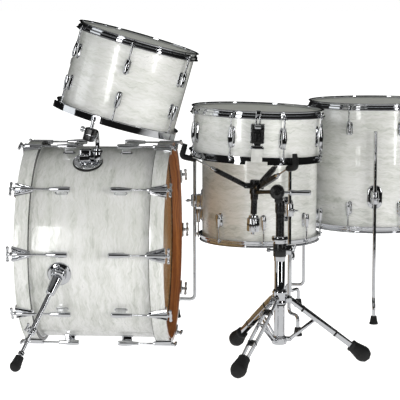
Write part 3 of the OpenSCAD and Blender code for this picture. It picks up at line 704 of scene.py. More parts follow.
def lug_body(height, barrel, bullet=True):
    """The turned part of a lug along Z: thick at its closed end, tapered to the rod's mouth."""
    half = height / 2
    if bullet:
        flank = [(barrel * 0.70, -half), (barrel * 0.86, -half + 1.2), (barrel, -half * 0.45),
                 (barrel * 0.90, 0.1 * half), (barrel * 0.62, half * 0.86)]
        mouth = [(barrel * 0.60, half - 3), (barrel * 0.68, half - 2.4), (barrel * 0.68, half),
                 (3.1, half)]
        profile = [(0, -half), *rounded(flank, 6, 6), *rounded(mouth, 0.5, 2),
                   (3.1, half - 3), (0, half - 3)]
    else:
        lip = [(3.1, half), (barrel * 0.60, half), (barrel * 0.60, half - 2.2)]
        top = [*lip, (barrel * 0.54, half - 3), (barrel * 0.86, half * 0.45), (barrel, 0)]
        top = rounded(top, 3.0, 5)
        profile = [(0, half - 3), (3.1, half - 3), *top, *[(x, -z) for x, z in reversed(top)],
                   (3.1, 3 - half), (0, 3 - half)]
    return turned(profile, 28)


def lug(piece, radius, off, height, barrel, spot, bullet=True, foot=(2.0, 1.02)):
    """Cast lug: a barrel on a waist, on an oval foot; foot is in shares of barrel and height."""
    wide, tall = foot
    piece.add(lug_body(height, barrel, bullet), CHROME, spot @ shift(0, -radius - off, 0))
    slide = -0.06 * height if bullet else 0.0  # a bullet lug's foot sits nearer its thick end
    on_shell = spot @ shift(0, 0, slide) @ outward(radius)
    piece.add(plate(oval(barrel * wide, height * tall), -0.8, 2.0, 0.9, 3), CHROME, on_shell)
    waist = [(0.0, 0.88 * wide, 0.90 * tall), (0.25, 0.66 * wide, 0.78 * tall), (0.60, 1.00, 0.50),
             (1.0, 1.20, 0.60)]
    loops = []
    for share, across, along in waist:
        z = 1.6 + share * (off - 2.5)
        loops.append([(x, y, z) for x, y in oval(barrel * across, height * along)])
    piece.add(loft(loops), CHROME, on_shell)


# ---------- the drums ----------

KICK_D, KICK_DEPTH = 559.0, 356.0
KICK_HOOP_R, KICK_HOOP_END, KICK_ROD_R = 295.0, 210.0, 301.0
RACK_D, RACK_DEPTH = 330.0, 229.0
SNARE_D, SNARE_DEPTH = 356.0, 127.0
SMALL_D, SMALL_DEPTH = 356.0, 356.0
LARGE_D, LARGE_DEPTH = 406.0, 388.0
SIDES = [Matrix.Identity(4), FLIP]
KICK_LUGS, KICK_LUG_TURN = 10, -1.2
KICK_LUG_Z = 87.0
FLOOR_TOM_LUGS = 8
SNARE_LUGS, SNARE_LUG_TURN = 8, -19.5


def kick_drum():
    """Shell, wooden hoops with an inlay of wrap, heads and lugs."""
    drum_shell("kick_shell_wrapped", "kick", "kick_shell", KICK, KICK_D, KICK_DEPTH, PEARLS["kick"])
    step = KICK_DEPTH / 2 - 3.7  # the hoop's edge nearest the drum's middle
    inner = KICK_D / 2 + 2
    core = KICK_HOOP_R - 1.6  # the rest of the hoop's radius is wrap
    for name, node, side in (("kick_front_hoop_wood", "kick_front_hoop", FLIP),
                             ("kick_batter_hoop_wood", "kick_batter_hoop", Matrix.Identity(4))):
        piece = Piece(name, "kick", node, place=KICK)
        section = [(inner + 5, step - 4.6), (core, step - 4.6), (core, KICK_HOOP_END - 0.4),
                   (inner, KICK_HOOP_END - 0.4), (inner, step), (inner + 5, step)]
        piece.add(turned(rounded(section, 1.0, 3, closed=True), 192, closed=True), HOOP_WOOD, side)
        piece.add(tube(KICK_HOOP_R, core, step - 5, KICK_HOOP_END, 0.7, 192), PEARLS["kick"], side)
        # Painted shadow: this black ring on the hoop's inner end face stands in for the shadow line between
        # shell and hoop.
        piece.add(tube(KICK_HOOP_R + 0.15, inner + 4.4, step - 5.6, step - 4.2, 0.3, 192), BLACK, side)
        # Painted shade: this black ring where the head meets the hoop's inner wall stands in for the shade
        # in that crease.
        piece.add(tube(inner + 0.4, inner - 2.4, KICK_DEPTH / 2 + 1.3, KICK_DEPTH / 2 + 3.2, 0.6, 192),
                  BLACK, side)
        piece.done()
    heads = Piece("kick_heads_film", "kick", "kick_heads", place=KICK)
    for end, film in zip(both_ends(KICK_DEPTH), (BATTER_FILM, HEAD)):
        drum_head(heads, KICK_D, film, end)
    heads.done()
    lugs = Piece("kick_lugs_cast", "kick", "kick_lugs", place=KICK)
    for side in SIDES:
        for spot in around(KICK_LUGS, KICK_LUG_TURN):
            lug(lugs, KICK_D / 2, KICK_ROD_R - KICK_D / 2, 60, 8.4, side @ spot @ shift(z=KICK_LUG_Z),
                foot=(1.3, 0.62))
    lugs.done()


def claw_shape():
    """Scallop of three ribs that fans out from the rod's boss to the hoop's rim."""
    inner, face = KICK_DEPTH / 2 - 16, KICK_HOOP_END + 4.2
    loops = []
    for step in range(13):
        t = step / 12
        y = inner + (face - inner) * t
        half = 8.0 + 14.0 * t ** 0.85
        fan = half - 5.2
        thickness = 0.45 if step == 0 else 1.0
        loop = [(-half, y, 0.0), (half, y, 0.0)]
        for k in range(29):
            x = half * (1 - 2 * k / 28)
            ribs = 8.4 * math.exp(-(x / 3.6) ** 2)
            ribs = max(ribs, 5.2 * math.exp(-((abs(x) - fan) / 3.4) ** 2))
            rim = 1 - 0.55 * (abs(x) / half) ** 8
            loop.append((x, y, (2.6 + ribs * rim) * thickness))
        loops.append(loop)
    return loft(loops)


def t_handle():
    """Waisted bar with ball ends, turned round its own length."""
    half = [(0, 22.4), (2.4, 22.0), (4.0, 20.3), (4.4, 18.0), (3.9, 15.0), (3.1, 10.0), (3.3, 6.0),
            (4.8, 3.0)]
    return turned([*half, *[(r, -z) for r, z in reversed(half)]], 24)


def kick_claws():
    """Claws over the wooden hoops and the T-rods that pull them."""
    claws = Piece("kick_claws_cast", "kick", "kick_claws", place=KICK)
    rods = Piece("kick_t_rods_plated", "kick", "kick_t_rods", place=KICK)
    on_hoop = outward(KICK_HOOP_R + 0.3)
    lip = plate(rectangle(43, 12.4, 2.4, 4, (0, -291.3)), 210.3, 214.4, 1.2, 3)
    tip = KICK_HOOP_END + 6
    collar = [(0, tip - 0.3), (6.2, tip - 0.3), (6.2, tip + 1.8), (4.2, tip + 3), (4.4, tip + 8),
              (0, tip + 8)]
    for side in SIDES:
        for i, spot in enumerate(around(KICK_LUGS, KICK_LUG_TURN)):
            at_rod = side @ spot @ shift(0, -KICK_ROD_R, 0)
            claws.add(claw_shape(), CHROME, side @ spot @ on_hoop)
            claws.add(lip, CHROME, side @ spot)
            claws.add(tube(5.6, 3.5, 160, 215.4, 0.8, 24), CHROME, at_rod)
            # The two lowest handles lie level, clear of the floor.
            bearing = KICK_LUG_TURN + 360 * i / KICK_LUGS
            level = 90 - bearing if abs(bearing - 90) < 30 else 0
            rods.add(thread(3.0, 85, 146, 1.1), CHROME, at_rod)
            rods.add(bar(3.0, 146, tip, 0.2, 20), CHROME, at_rod)
            rods.add(turned(rounded(collar, 0.7, 2), 28), CHROME, at_rod)
            rods.add(t_handle(), CHROME, at_rod @ turn(level) @ shift(z=tip + 9) @ turn(90, "Y"))
    claws.done()
    rods.done()


def hoops_and_rods(drum, body, place, diameter, depth, lugs, first, bottom_film):
    """Heads, pressed hoops, key rods and lugs at both ends of a tom."""
    heads = Piece(drum + "_heads_film", body, drum + "_heads", place=place)
    hoops = Piece(drum + "_hoops_pressed", body, drum + "_hoops", place=place)
    rods = Piece(drum + "_rods_plated", body, drum + "_rods", place=place)
    casts = Piece(drum + "_lugs_cast", body, drum + "_lugs", place=place)
    for end, film in zip(both_ends(depth), (HEAD, bottom_film)):
        drum_head(heads, diameter, film, end)
        flanged_hoop(hoops, diameter, lugs, first, end)
        for i, spot in enumerate(around(lugs, first)):
            # Three lower rods of the rack tom hold its bracket instead of a washer.
            tabbed = drum == "rack" and film is bottom_film and i in (0, 1, 5)
            key_rod(rods, end @ spot @ shift(0, -diameter / 2 - ROD_OFF, -6.7), 50, not tabbed)
            lug(casts, diameter / 2, ROD_OFF, 42, 8.5, end @ spot @ shift(z=-67))
    for piece in (heads, hoops, rods, casts):
        piece.done()


def vent(piece, diameter, azimuth, height):
    """Eyelet round the air hole."""
    ring = rounded([(5.0, -2.0), (9.5, -0.2), (9.0, 1.6), (6.2, 2.4), (5.0, 1.0)], 0.8, 3, closed=True)
    piece.add(turned(ring, 36, closed=True), CHROME,
              turn(azimuth) @ shift(z=height) @ outward(diameter / 2))


def toms():
    """Rack tom and the two floor toms, without their legs."""
    drum_shell("rack_shell_wrapped", "rack_tom", "rack_shell", RACK, RACK_D, RACK_DEPTH, PEARLS["rack"])
    hoops_and_rods("rack", "rack_tom", RACK, RACK_D, RACK_DEPTH, 6, 2.5, CLEAR)
    drum_shell("small_shell_wrapped", "small_drum", "small_shell", SMALL, SMALL_D, SMALL_DEPTH,
               PEARLS["small"])
    hoops_and_rods("small", "small_drum", SMALL, SMALL_D, SMALL_DEPTH, FLOOR_TOM_LUGS, 6.5,
                   CLEAR)
    drum_shell("large_shell_wrapped", "large_drum", "large_shell", LARGE, LARGE_D, LARGE_DEPTH,
               PEARLS["large"])
    hoops_and_rods("large", "large_drum", LARGE, LARGE_D, LARGE_DEPTH, FLOOR_TOM_LUGS, 22.5,
                   CLEAR)
    eyelets = Piece("rack_air_vent", "rack_tom", place=RACK)
    vent(eyelets, RACK_D, -84, 6)
    eyelets.done()


def snare_drum():
    """Shell, heads, upper hoop, rods and the full-height lugs of the snare drum."""
    drum_shell("snare_shell_wrapped", "snare", "snare_shell", SNARE, SNARE_D, SNARE_DEPTH, PEARLS["snare"])
    heads = Piece("snare_heads_film", "snare", "snare_heads", place=SNARE)
    top = Piece("snare_batter_hoop_pressed", "snare", "snare_batter_hoop", place=SNARE)
    rods = Piece("snare_rods_plated", "snare", "snare_rods", place=SNARE)
    casts = Piece("snare_lugs_cast", "snare", "snare_lugs", place=SNARE)
    for end, film in zip(both_ends(SNARE_DEPTH), (HEAD, CLEAR)):
        drum_head(heads, SNARE_D, film, end)
        for spot in around(SNARE_LUGS, SNARE_LUG_TURN):
            key_rod(rods, end @ spot @ shift(0, -SNARE_D / 2 - ROD_OFF, -6.7), 38)
    flanged_hoop(top, SNARE_D, SNARE_LUGS, SNARE_LUG_TURN, shift(z=SNARE_DEPTH / 2))
    for spot in around(SNARE_LUGS, SNARE_LUG_TURN):
        lug(casts, SNARE_D / 2, ROD_OFF, 58, 8.5, spot, bullet=False)
    for piece in (heads, top, rods, casts):
        piece.done()


# ---------- floor tom legs ----------

LEG_OFF = 26.0  # from the shell to the upright of a leg
LEG_KICK = 58.0  # how far the foot stands outside the upright


def ribbed(profile_low, profile_high, ribs, depth):
    """Points of a ribbed flank between two (radius, height) points."""
    (r0, z0), (r1, z1) = profile_low, profile_high
    made = []
    for k in range(2 * ribs + 1):
        t = k / (2 * ribs)
        made.append((r0 + (r1 - r0) * t - (depth if k % 2 else 0), z0 + (z1 - z0) * t))
    return made


def wing_screw(span=30.0):
    """Screw along Z whose wings spread in X."""
    half = span / 2
    wings = [(-half, 4.2), (-half + 2, -3.6), (-5, -2.4), (5, -2.4), (half - 2, -3.6),
             (half, 4.2), (half - 5, 5.0), (5, 2.6), (-5, 2.6), (5 - half, 5.0)]
    verts, faces = plate(rounded(wings, 2.2, 3, closed=True), -2.3, 2.3, 1.2, 3)
    return [(x, z, y + 3.0) for x, y, z in verts], faces


def leg_set(drum, stand_body, drum_body, diameter, bracket_z, top_z, turns):
    """Three bent legs with rubber feet, and the brackets that clamp them to a floor tom."""
    r = diameter / 2
    base = middle(drum + "_shell")
    ground = Matrix.Translation((base.x, base.y, 0))
    brackets = Piece(drum + "_leg_brackets_cast", drum_body, drum + "_leg_brackets",
                     place=ground @ Matrix.Translation((0, 0, bracket_z * MM)))
    legs = Piece(drum + "_legs_plated", stand_body, drum + "_legs", place=ground)
    feet = Piece(drum + "_feet_rubber", stand_body, drum + "_feet", place=ground)
    path = rounded([(0, -r - LEG_OFF, top_z - 1.5), (0, -r - LEG_OFF, 60),
                    (0, -r - LEG_OFF - LEG_KICK, 60), (0, -r - LEG_OFF - LEG_KICK, 8.2)], 17, 8)
    crown = [(0, -r - LEG_OFF, top_z), (0, -r - LEG_OFF, top_z - 1.6)]
    for angle in turns:
        spot = turn(angle)
        on_shell = spot @ outward(r)
        loops = []
        for z, w, h in ((-2.6, 48, 76), (1.0, 48, 76), (3.4, 46.5, 74.5), (4.4, 44, 72), (4.5, 30, 52)):
            hollow = 1 if z < 0 else 0.4  # the back follows the shell, the front less so
            loops.append([(x, y, z - x * x / (2 * r) * hollow) for x, y in oval(w, h, 48)])
        brackets.add(loft(loops), CHROME, on_shell)
        brackets.add(plate(rectangle(25, 43, 5, 4), 1.5, 20, 3.0, 4), CHROME, on_shell)
        brackets.add(tube(12, 5.65, -19, 19, 1.6, 40), CHROME, spot @ shift(0, -r - LEG_OFF, 0))
        brackets.add(tube(13.2, 11.5, -3.2, 3.2, 1.2, 40), CHROME, spot @ shift(0, -r - LEG_OFF, 0))
        screw = spot @ outward(r + LEG_OFF)
        brackets.add(bar(4, 12.3, 19, 0.6, 24), CHROME, screw)
        brackets.add(bar(5.8, 17.5, 25.5, 1.4, 28), CHROME, screw)
        brackets.add(wing_screw(), CHROME, screw @ shift(z=20.5))
        for side in (-1, 1):
            brackets.add(bar(3.4, 4, 6.6, 1.0, 20), CHROME, on_shell @ shift(0, side * 30, 0))
        legs.add(pipe(path, 5.5, 24), CHROME, spot)
        legs.add(pipe(crown, [4.6, 5.5], 24), CHROME, spot)
        foot = [(0, 0), *rounded([(13.0, 0), (14.0, 2.5), (12.6, 7.0)], 1.4, 3),
                *ribbed((12.2, 8.0), (10.0, 22.0), 5, 0.8),
                (9.6, 24), (8.6, 26), (6.2, 26), (6.2, 9), (0, 9)]
        feet.add(turned(foot, 40), RUBBER, spot @ shift(0, -r - LEG_OFF - LEG_KICK, 0))
    for piece in (brackets, legs, feet):
        piece.done()


# ---------- bass drum spurs and tom mount ----------

KICK_AT = middle("kick_shell") / MM
SPUR_TURN = 10.5
SPUR_Z = -84.0
SPUR_SEAT_R = KICK_D / 2 + 27
SPUR_KNUCKLE = KICK_AT + Vector((SPUR_Z, -SPUR_SEAT_R * math.cos(math.radians(SPUR_TURN)),
                                 -SPUR_SEAT_R * math.sin(math.radians(SPUR_TURN))))
SPUR_FOOT = Vector((KICK_AT.x - 180, KICK_AT.y - 440, 16))
SPUR_LENGTH = (SPUR_FOOT - SPUR_KNUCKLE).length


def spurs():
    """The two telescopic spurs of the bass drum and their brackets."""
    brackets = Piece("kick_spur_brackets_cast", "kick", "kick_spur_brackets")
    far = shift(y=KICK_AT.y) @ MIRROR_Y @ shift(y=-KICK_AT.y)
    to_mm = Matrix.Translation(KICK_AT) @ turn(90, "Y")
    seat = to_mm @ turn(SPUR_TURN) @ shift(z=SPUR_Z) @ outward(KICK_D / 2)
    for prefix, side in (("near", Matrix.Identity(4)), ("far", far)):
        bulge = [(34, -2.5), (34, 3.5), (31, 6.6), (23, 8.4), (21, 12), (20.6, 19.5)]
        dome = [(6.2, 0.5), *rounded(bulge, 2, 3), (6.2, 19.5)]
        brackets.add(turned(dome, 64, closed=True), CHROME, side @ seat)
        for x in (-26, 26):
            brackets.add(bar(3.6, 5, 9.6, 1.2, 20), CHROME, side @ seat @ shift(x=x))
        socket = Piece(prefix + "_spur_socket", prefix + "_spur", prefix + "_spur_tube")
        rim = [(20, 20.2), (20, 30), (16, 34), (7, 34), (6, 32)]
        cap = [(0, 4), (5.9, 4), (5.9, 20.2), *rounded(rim, 1.6, 3), (0, 32)]
        socket.add(turned(cap, 56), CHROME, side @ seat)
        for k in range(24):
            angle = 2 * math.pi * k / 24
            groove = shift(19.7 * math.cos(angle), 19.7 * math.sin(angle), 0)
            socket.add(bar(0.9, 21.4, 29.4, 0.5, 8), CHROME, side @ seat @ groove)
        down = side @ aim(SPUR_KNUCKLE, SPUR_FOOT)
        sleeve = [(0, 4), *rounded([(16.5, 6), (14.2, 34), (12.0, 55), (7.6, 58)], 2, 3),
                  (7.2, 60), (7.2, 161), (10.6, 162),
                  *rounded([(11.2, 164), (11.2, 181), (9, 182)], 1.2, 3),
                  (5.1, 182), (5.1, 120), (0, 120)]
        socket.add(turned(sleeve, 40), CHROME, down)
        socket.add(tube(11.6, 10.4, 165, 168, 0.7, 40), CHROME, down)
        socket.add(tube(11.6, 10.4, 176, 179, 0.7, 40), CHROME, down)
        wing = down @ shift(0, 0, 172) @ turn(-90, "X")
        socket.add(bar(4, 10, 19, 0.8, 20), CHROME, wing)
        socket.add(wing_screw(27), CHROME, wing @ shift(z=20) @ turn(90))
        socket.done()
        rod = Piece(prefix + "_spur_rod_plated", prefix + "_spur_end", prefix + "_spur_rod")
        rod.add(bar(5, 113, SPUR_LENGTH - 14, 0.5, 28), CHROME, down)
        nut_low, nut_high = SPUR_LENGTH - 44, SPUR_LENGTH - 34
        nut = [(0, nut_low), *rounded([(9, nut_low), (9.6, nut_low + 4), (9, nut_high)], 1, 3),
               (0, nut_high)]
        rod.add(turned(nut, 6), CHROME, down)
        up = side @ aim(SPUR_FOOT, SPUR_KNUCKLE)
        ball = []
        for degrees in range(0, 90, 9):
            angle = math.radians(degrees)
            ball.append((15.6 * math.sin(angle), -15.9 * math.cos(angle)))
        foot = [*ball, (15.8, 0), *ribbed((15.4, 3), (12.6, 24), 5, 0.9),
                (12.2, 27), (11, 30), (5.3, 30), (5.3, 11), (0, 11)]
        rod.add(turned(foot, 44), RUBBER, up)
        rod.done()
    brackets.done()


POST = Vector((KICK_AT.x + 9, KICK_AT.y - 152, 552))  # foot of the arm's upright
BRACKET_TURN = -12.0
BRACKET_R = RACK_D / 2 + 24.5
POST_DROP = RACK_DEPTH / 2 + HOOP_RISE + 16  # from the tom's middle down to the top of the clamp
CLAMP_H = 36.0
TILT_RISE = 12.0  # of the tilt joint above the clamp's lower end
AT_RACK = Matrix.Translation(middle("rack_shell") / MM) @ Matrix.Rotation(RACK_LEAN, 4, "Y")
AT_SNARE = Matrix.Translation(middle("snare_shell") / MM) @ Matrix.Rotation(SNARE_LEAN, 4, "Y")
TILT_POINT = AT_RACK @ Vector((BRACKET_R * math.sin(math.radians(BRACKET_TURN)),
                               -BRACKET_R * math.cos(math.radians(BRACKET_TURN)),
                               TILT_RISE - POST_DROP - CLAMP_H))
ARM_TURN = math.degrees(math.atan2(TILT_POINT.x - POST.x, POST.y - TILT_POINT.y))
ARM_REACH = (TILT_POINT.xy - POST.xy).length


def tom_mount():
    """Base on the bass drum, bent arm, and the tilter under the rack tom's bracket."""
    base = Piece("mount_base_cast", "kick", "mount_base")
    to_mm = Matrix.Translation(KICK_AT) @ turn(90, "Y")
    flange = to_mm @ turn(-62) @ shift(z=-22) @ outward(KICK_D / 2)
    bulge = [(41, 3.3), (41, 7.6), (34, 9.4), (27, 10.2), (25.5, 13.2), (22, 13.6)]
    dome = [(0, 3.3), *rounded(bulge, 1.5, 3), (0, 13.6)]
    base.add(turned(dome, 72), CHROME, flange)
    for k in range(3):
        screw = turn(120 * k + 30) @ shift(x=33.5)
        base.add(bar(3.6, 7.5, 11.4, 1.2, 20), CHROME, flange @ screw)
    block = plate(rectangle(33, 31, 6, 4), -5, 29, 2.4, 3)
    base.add(block, CHROME, shift(POST.x - 36, POST.y + 8, POST.z))
    base.add(tube(13, 6.1, 0, 32, 1.6, 44), CHROME, Matrix.Translation(POST))
    base.add(tube(14.4, 12.6, 22, 27, 1.2, 44), BLACK, Matrix.Translation(POST))
    base.add(plate(rectangle(26, 16, 3, 3), 2.5, 26, 1.6, 3), CHROME,
             shift(POST.x - 14, POST.y + 4, POST.z))
    screw = shift(POST.x - 36, POST.y - 8.3, POST.z + 14) @ turn(90, "X")
    base.add(bar(4, 0, 12, 0.6, 24), CHROME, screw)
    base.add(wing_screw(28), CHROME, screw @ shift(z=12))
    base.done()

    arm = Piece("tom_arm_plated", "arm", "tom_arm")
    level = TILT_POINT.z
    path = rounded([(0, 0, POST.z - 5.5), (0, 0, level), (0, -ARM_REACH - 9.5, level)], 47, 14)
    arm.add(pipe(path, 6.0, 32), CHROME, shift(POST.x, POST.y) @ turn(ARM_TURN))
    arm.done()

    tilter = Piece("tom_tilter_cast", "tilter", "tom_tilter")
    clamp = AT_RACK @ turn(BRACKET_TURN) @ shift(0, -BRACKET_R, -POST_DROP - CLAMP_H)
    tilter.add(plate(rectangle(28, 28, 7, 5), 0, CLAMP_H, 3.4, 4), BLACK, clamp)
    tilter.add(plate(rectangle(29.5, 29.5, 7, 5), 17.2, 19.2, 0.5, 2), CHROME, clamp)
    side = clamp @ shift(z=TILT_RISE) @ turn(90, "Y")
    nut = [(0, 12), *rounded([(7, 12), (7, 18), (9, 19), (9, 22), (7.6, 23.6)], 0.9, 3), (0, 23.6)]
    tilter.add(turned(nut, 8), CHROME, side)
    key = clamp @ shift(0, 0, CLAMP_H - 9) @ turn(-90, "Y")
    tilter.add(bar(5, 12, 22, 0.6, 28), CHROME, key)
    tilter.add(bar(8, 20.5, 28, 1.6, 12), CHROME, key)
    tilter.done()


# ---------- snare fittings ----------

STRAINER_TURN = 3.0


def strainer():
    """Throw-off with its lever on the near side, and the butt plate opposite."""
    spot = turn(STRAINER_TURN) @ outward(SNARE_D / 2)
    body = Piece("snare_throw_body", "snare", "strainer", place=SNARE)
    body.add(plate(rectangle(38, 54, 3, 3, (0, 12)), -1.0, 2.9, 1.0, 3), CHROME, spot)
    body.add(plate(rectangle(33, 38, 3.5, 4, (0, 5)), 1.5, 20.5, 2.6, 4), BLACK, spot)
    body.add(plate(rectangle(24, 30, 2.5, 4, (0, 4)), 18.5, 22.0, 1.2, 3), BLACK, spot)
    verts, faces = plate(rectangle(22, 20, 6, 5, (13.5, 28)), 0, 6.8, 1.4, 3)
    cheek = ([(z, y, out) for out, y, z in verts], faces)
    for x in (-12, 12):
        body.add(cheek, BLACK, spot @ shift(x=x - 3.4))
    for y in (-6, 33):
        for x in (-15.6, 15.6):
            body.add(bar(2.6, 2, 4.4, 0.8, 18), CHROME, spot @ shift(x, y, 0))
    for x in (-5, 5):
        body.add(plate(rectangle(2.2, 20, 1.0, 2, (x, 4)), 21, 22.6, 0.6, 2), BLACK, spot)
    body.add(plate(rectangle(36, 9, 2.2, 3, (0, -24)), 16.2, 23.2, 1.4, 3), CHROME, spot)
    body.add(plate(rectangle(20, 7.4, 1.4, 3, (0, -17)), 6, 14, 1.0, 2), CHROME, spot)
    for x in (-11, 11):
        body.add(bar(2.8, 22.6, 25.6, 0.9, 18), CHROME, spot @ shift(x, -24, 0))
    body.done()

    lever = Piece("snare_throw_fork", "throw_off", "strainer_lever", place=SNARE)
    pivot = turn(STRAINER_TURN) @ shift(0, -SNARE_D / 2 - 19, 32)
    lever.add(bar(3, -15, 15, 0.7, 24), CHROME, pivot @ turn(90, "Y"))
    lever.add(tube(6.5, 2.9, -8.2, 8.2, 1.0, 32), CHROME, pivot @ turn(90, "Y"))
    for x in (-5, 5):
        strip = plate(rectangle(4.2, 38, 1.8, 3, (x, 19)), -2.1, 2.1, 1.2, 3)
        lever.add(strip, CHROME, pivot @ turn(90, "X"))
    lever.add(plate(rectangle(14, 12.4, 3.4, 4, (0, 38)), -3.1, 3.1, 1.7, 3), CHROME,
              pivot @ turn(90, "X"))
    lever.done()

    butt = Piece("snare_butt_plate", "snare", "snare_butt", place=SNARE)
    back = turn(STRAINER_TURN + 180) @ outward(SNARE_D / 2)
    butt.add(plate(rectangle(30, 40, 3, 3, (0, -12)), -1.0, 12, 2.2, 4), CHROME, back)
    butt.add(plate(rectangle(36, 9, 2.2, 3, (0, -26)), 16.2, 20.2, 1.4, 3), CHROME, back)
    butt.add(plate(rectangle(16, 7, 1.5, 3, (0, -26)), 8, 17, 1.0, 2), CHROME, back)
    for x in (-11, 11):
        butt.add(bar(2.8, 19.6, 22.6, 0.9, 18), CHROME, back @ shift(x, -26, 0))
    for y in (-1, -20):
        butt.add(bar(3.2, 11.5, 13.8, 0.9, 18), CHROME, back @ shift(0, y, 0))
    butt.done()


def snare_wires():
    """Twenty coiled wires soldered to two plates, pulled by a strap at each end."""
    wires, pitch, wire_z, plate_x = 20, 2.4, -SNARE_DEPTH / 2 - 2.4, 150.0
    strap_r = SNARE_D / 2 + 15.2
    piece = Piece("snare_wires_coiled", "wires", "snare_wires", place=SNARE)
    turns, per_turn, coil_r = 110, 8, 0.75
    length = 2 * plate_x - 8
    path = []
    for k in range(turns * per_turn + 1):
        angle = 2 * math.pi * k / per_turn
        path.append((length * (k / (turns * per_turn) - 0.5), coil_r * math.cos(angle),
                     coil_r * math.sin(angle)))
    coil = pipe(path, 0.26, 4)
    lay = turn(STRAINER_TURN + 90)
    for i in range(wires):
        piece.add(coil, WIRE, lay @ shift(0, pitch * (i - (wires - 1) / 2), wire_z))
    for side in (-1, 1):
        piece.add(plate(rectangle(14, 52, 2.5, 3), -0.95, 0.95, 0.5, 2), CHROME,
                  lay @ shift(side * plate_x, 0, wire_z))
        ribbon = [(side * (plate_x - 2), 0, wire_z - 0.2), (side * strap_r, 0, wire_z - 0.2),
                  (side * strap_r, 0, -26)]
        loops = []
        for point in rounded(ribbon, 5, 4):
            rising = point.z > wire_z + 3
            dx, dz = (0.35, 0) if rising else (0, 0.35)
            loops.append([(point.x - dx, -15, point.z - dz), (point.x - dx, 15, point.z - dz),
                          (point.x + dx, 15, point.z + dz), (point.x + dx, -15, point.z + dz)])
        piece.add(loft(loops), STRAP, lay)
    piece.done()


# ---------- snare stand ----------

STAND_AT = Matrix.Translation((KICK_AT.x + 531, KICK_AT.y - 262, 0))
STAND_X, STAND_Y = STAND_AT.translation.xy
TILT_X, TILT_Z = STAND_X - 8, 478.0  # axis of the basket's tilt joint
TUBE_R, BASE_R, BASE_BOTTOM, BASE_TOP = 11.5, 15.0, 54.0, 286.0
COLLAR_Z, COLLAR_H = 166.0, 36.0
LEG_TURNS = (94, -26, 214)
LEG_ROOT, BRACE_ROOT = Vector((29, 179)), Vector((29, 66))
BOOT_R = 23.0
BOOT_MID = Vector((234, BOOT_R))
LEG_AIM = (BOOT_MID - LEG_ROOT).normalized()
LEG_SLOPE = math.degrees(-math.atan2(LEG_AIM.y, LEG_AIM.x))
LEG_TIP = BOOT_MID - 30 * LEG_AIM
BRACE_AT = 0.40  # share of the leg's length where its brace joins it
BRACE_TIP = LEG_ROOT + BRACE_AT * (LEG_TIP - LEG_ROOT)


def legs_at():
    """The three legs' places: x outwards, z up."""
    return [STAND_AT @ turn(angle - 90) for angle in LEG_TURNS]


def in_leg_plane(side=0.0):
    """Plates drawn here lie in a leg's plane: x outwards, y up, thick across."""
    return shift(0, -side, 0) @ turn(90, "X")


def strip(start, end, width, thick, bow, side):
    """A sprung strip, bowed outwards between its two ends."""
    heading = (end - start).normalized()
    up = Vector((-heading.y, heading.x))
    loops = []
    for k in range(25):
        t = k / 24
        centre = start.lerp(end, t)
        out = side + math.copysign(bow * math.sin(math.pi * t), side)
        half = width / 2 * (0.55 if k in (0, 24) else 1.0)
        corners = rounded([(-half, -thick / 2), (half, -thick / 2), (half, thick / 2),
                           (-half, thick / 2)], 0.9, 2, closed=True)
        loops.append([(centre.x + up.x * c.x, out + c.y, centre.y + up.y * c.x) for c in corners])
    return loft(loops)


